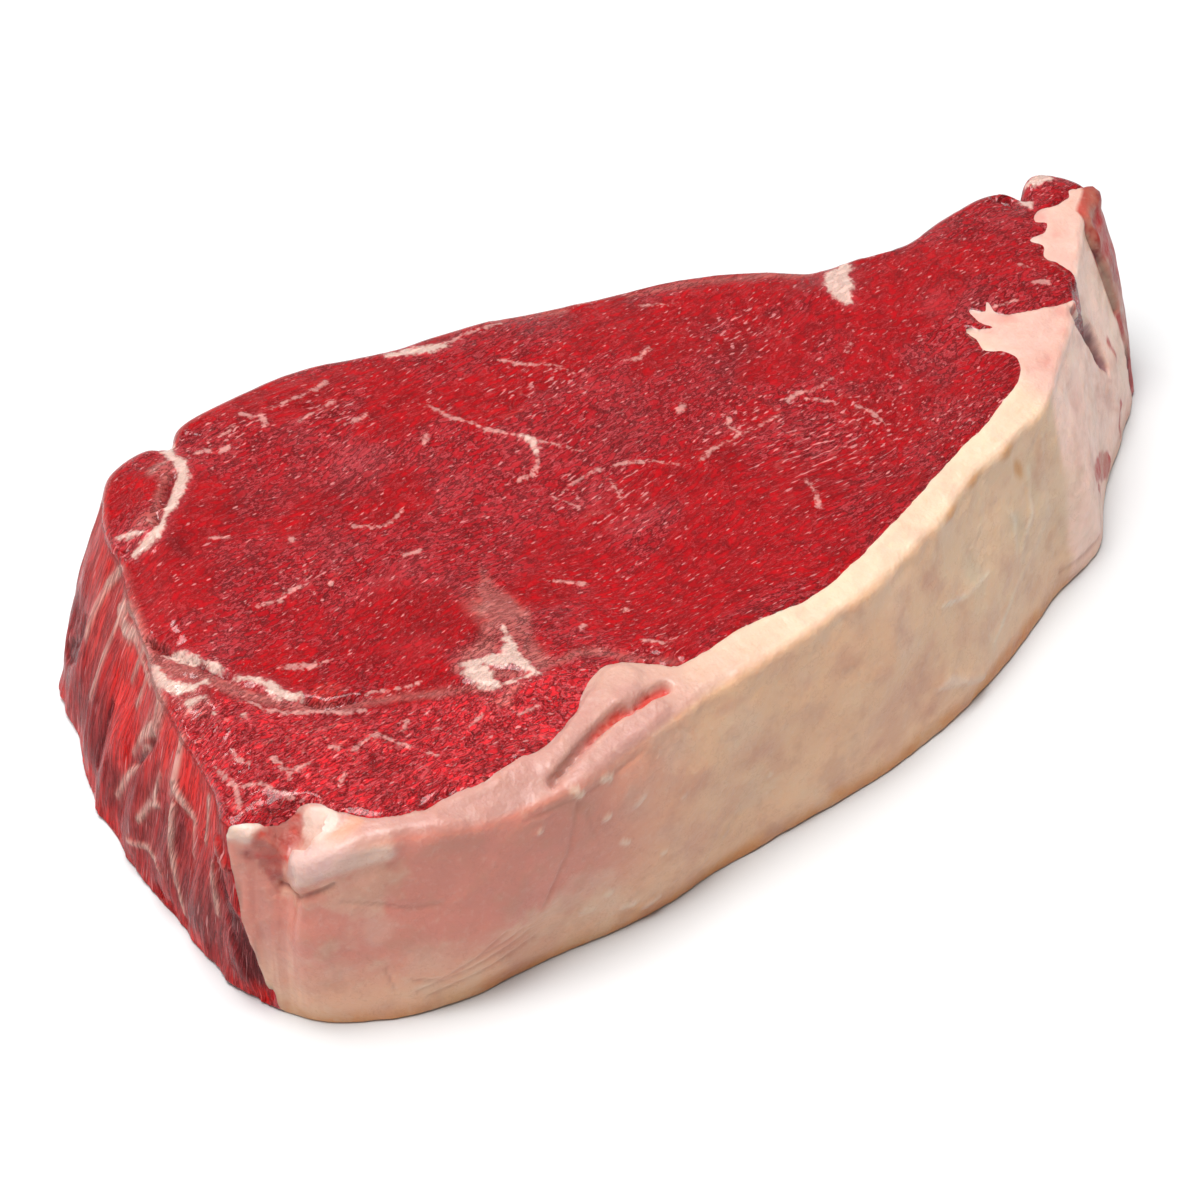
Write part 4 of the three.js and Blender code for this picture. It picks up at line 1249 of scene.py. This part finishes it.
def lean_material(name, gloss, coat, length):
    """Wet meat; its fibres run along the grain, and a length of 1 is that of the cut face's."""
    material, tree, shader = new_material(name, {
        "Specular IOR Level": gloss,
        "Subsurface Weight": 0.2,
        "Subsurface Radius": (1, 0.25, 0.15),
        "Subsurface Scale": 0.0006,
        "Coat Weight": coat,
        "Coat Roughness": 0.07,
    })
    place = layer(tree, "grain", "Vector")
    cut_face = layer(tree, "cut")
    glint_zones = layer(tree, "glinting")
    grainy = layer(tree, "grained")
    crinkled = layer(tree, "crinkled")
    spot = node(tree, "TexCoord").outputs["Object"]
    blotch = texture(tree, place, 1, 3, 0.6, (0.75 / length, 1.3, 1))
    fibre = texture(tree, place, 1, 3, 0.6, (0.45 / length, 1.3, 1))
    crinkle = texture(tree, place, 1, 2, 0.5, (0.36, 0.7, 1))
    dash = texture(tree, place, 1, 1, 0.5, (0.6 / length, 1.8, 1))
    speck = texture(tree, spot, 2200, 2, 0.6)
    ragged = texture(tree, spot, 1000, 2, 0.6)

    tone = layer(tree, "lean_tone", "Color")
    tone = blend(tree, ramp(tree, blotch, 0.45, 0.75, 0, 0.4), tone, MEAT_DEPTH)
    coarse = times(tree, ramp(tree, speck, 0.5, 0.75), ramp(tree, grainy, 0, 1, 0.1, 0.3))
    tone = blend(tree, coarse, tone, MEAT_SPECK)
    # Painted shade and painted highlights along the fibres and the crinkles.
    tone, folds = creased(tree, tone, fibre, ramp(tree, grainy, 0, 1, 0.4, 0.8))
    tone, worms = creased(tree, tone, crinkle, times(tree, crinkled, 0.5))
    # Painted glints: short bright dashes, more of them where glints gather.
    bright = ramp(tree, maths(tree, "ADD", dash, times(tree, glint_zones, 0.06)), 0.65, 0.75)
    tone = blend(tree, times(tree, bright, 0.8), tone, MEAT_GLINT)
    veined = times(tree, stroke_mask(tree, "veins", ragged, 2.2, 0.3), cut_face)
    tone = blend(tree, times(tree, veined, 0.8), tone, VEIN_TONE)
    creamy = times(tree, stroke_mask(tree, "cream", ragged, 2, 0.45), cut_face)
    tone = blend(tree, creamy, tone, CREAM_TONE)
    tree.links.new(tone, shader.inputs["Base Color"])
    rough = ramp(tree, texture(tree, spot, 300, 2), 0.3, 0.7, 0.14, 0.24)
    tree.links.new(rough, shader.inputs["Roughness"])
    raised = maths(tree, "ADD", folds, times(tree, worms, crinkled))
    normal = bump(tree, raised, 0.7, 0.00018)
    normal = bump(tree, blotch, 0.6, 0.0003, normal)
    normal = bump(tree, speck, 0.5, 0.0001, normal)
    tree.links.new(normal, shader.inputs["Normal"])
    return material


def fat_material():
    material, tree, shader = new_material("waxy_fat", {
        "Specular IOR Level": 0.35,
        "Subsurface Weight": 0.6,
        "Subsurface Radius": (1, 0.6, 0.4),
        "Subsurface Scale": 0.001,
        "Coat Weight": 0.1,
        "Coat Roughness": 0.2,
    })
    tone = layer(tree, "fat_tone", "Color")
    spot = node(tree, "TexCoord").outputs["Object"]
    mottle = texture(tree, spot, 160, 4, 0.6)
    patch = texture(tree, spot, 60, 4, 0.65)
    fine = texture(tree, spot, 900, 3, 0.6)
    skinned = ramp(tree, layer(tree, "cut"), 0, 1, 1, 0.35)
    rosy = ramp(tree, patch, 0.5, 0.66, 0, 0.35)
    creamy = ramp(tree, patch, 0.48, 0.36, 0, 0.35)
    pitted = ramp(tree, mottle, 0.48, 0.7, 0, 0.4)
    for share, colour in ((rosy, FAT_ROSY), (creamy, FAT_BUTTER), (pitted, FAT_HOLLOW)):
        tone = blend(tree, times(tree, share, skinned), tone, colour)
    tone = blend(tree, ramp(tree, fine, 0.5, 0.75, 0, 0.12), tone, FAT_LIGHT)
    pores = times(tree, contours(tree, mottle, 0.012), times(tree, skinned, 0.15))
    tone = blend(tree, pores, tone, FAT_PORE)
    tree.links.new(tone, shader.inputs["Base Color"])
    rough = ramp(tree, fine, 0.3, 0.7, 0.36, 0.52)
    tree.links.new(rough, shader.inputs["Roughness"])
    normal = bump(tree, mottle, 0.5, 0.0014)
    normal = bump(tree, fine, 0.4, 0.0003, normal)
    tree.links.new(normal, shader.inputs["Normal"])
    return material


def pulled_faces(mesh):
    """1 for each face on the pulled sides of the lean and 0 for the others."""
    pulled = read(mesh.attributes["pulled"], len(mesh.vertices), 1)[:, 0]
    first = np.empty(len(mesh.polygons), np.int32)
    mesh.polygons.foreach_get("loop_start", first)
    corners = np.empty(len(mesh.loops), np.int32)
    mesh.loops.foreach_get("vertex_index", corners)
    return (pulled[corners[first]] > 0.5).astype(np.int32)


wet_lean = lean_material("wet_lean", 0.25, 0.3, 1)
pulled_lean = lean_material("pulled_lean", 0.02, 0.12, 4)
for piece, finishes, solid_node, slot in (
    (lean_piece, (wet_lean, pulled_lean), "lean", "lean"),
    (fat_piece, (fat_material(),), "fat_cap", "fat"),
):
    piece.data.materials.clear()
    for finish in finishes:
        piece.data.materials.append(finish)
    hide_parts(solid_node)
    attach(piece, "root")
lean_piece.data.polygons.foreach_set("material_index", pulled_faces(lean_piece.data))


# ------------------------------------------------------------------ floor and light
FLOOR_SIZE = 8  # metres
FLOOR_WHITE = 0.67
SKY_STRENGTH = 0.2
LAMPS = [  # name, place and size in metres, watts
    ("overhead", (-0.22, 0.02, 1.25), 0.85, 26),
    ("left", (-0.9, 0.3, 0.7), 0.35, 1.5),
    ("spark", (-0.15, 0.8, 0.85), 0.12, 0.7),
]


def make_floor():
    half = FLOOR_SIZE / 2 / MM
    corners = np.array([[-half, -half, 0], [half, -half, 0], [half, half, 0], [-half, half, 0]])
    floor = mesh_object("floor", corners * MM, np.array([[0, 1, 2], [0, 2, 3]]))
    material, _, _ = new_material("white_board", {
        "Base Color": (FLOOR_WHITE, FLOOR_WHITE, FLOOR_WHITE, 1),
        "Roughness": 0.8,
        "Specular IOR Level": 0.1,
    })
    floor.data.materials.append(material)


def make_light(name, place, size, watts):
    """A round lamp that shines at the middle of the board."""
    data = bpy.data.lights.new(name, "AREA")
    data.shape = "DISK"
    data.size = size
    data.energy = watts
    lamp = bpy.data.objects.new(name, data)
    lamp.location = place
    lamp.rotation_euler = Vector(place).to_track_quat("Z", "Y").to_euler()
    bpy.context.scene.collection.objects.link(lamp)


make_floor()
for lamp in LAMPS:
    make_light(*lamp)

world = bpy.data.worlds.new("studio")
world.use_nodes = True
sky = world.node_tree.nodes["Background"]
sky.inputs["Color"].default_value = (1, 1, 1, 1)
sky.inputs["Strength"].default_value = SKY_STRENGTH
bpy.context.scene.world = world
bpy.context.scene.view_settings.view_transform = "Standard"
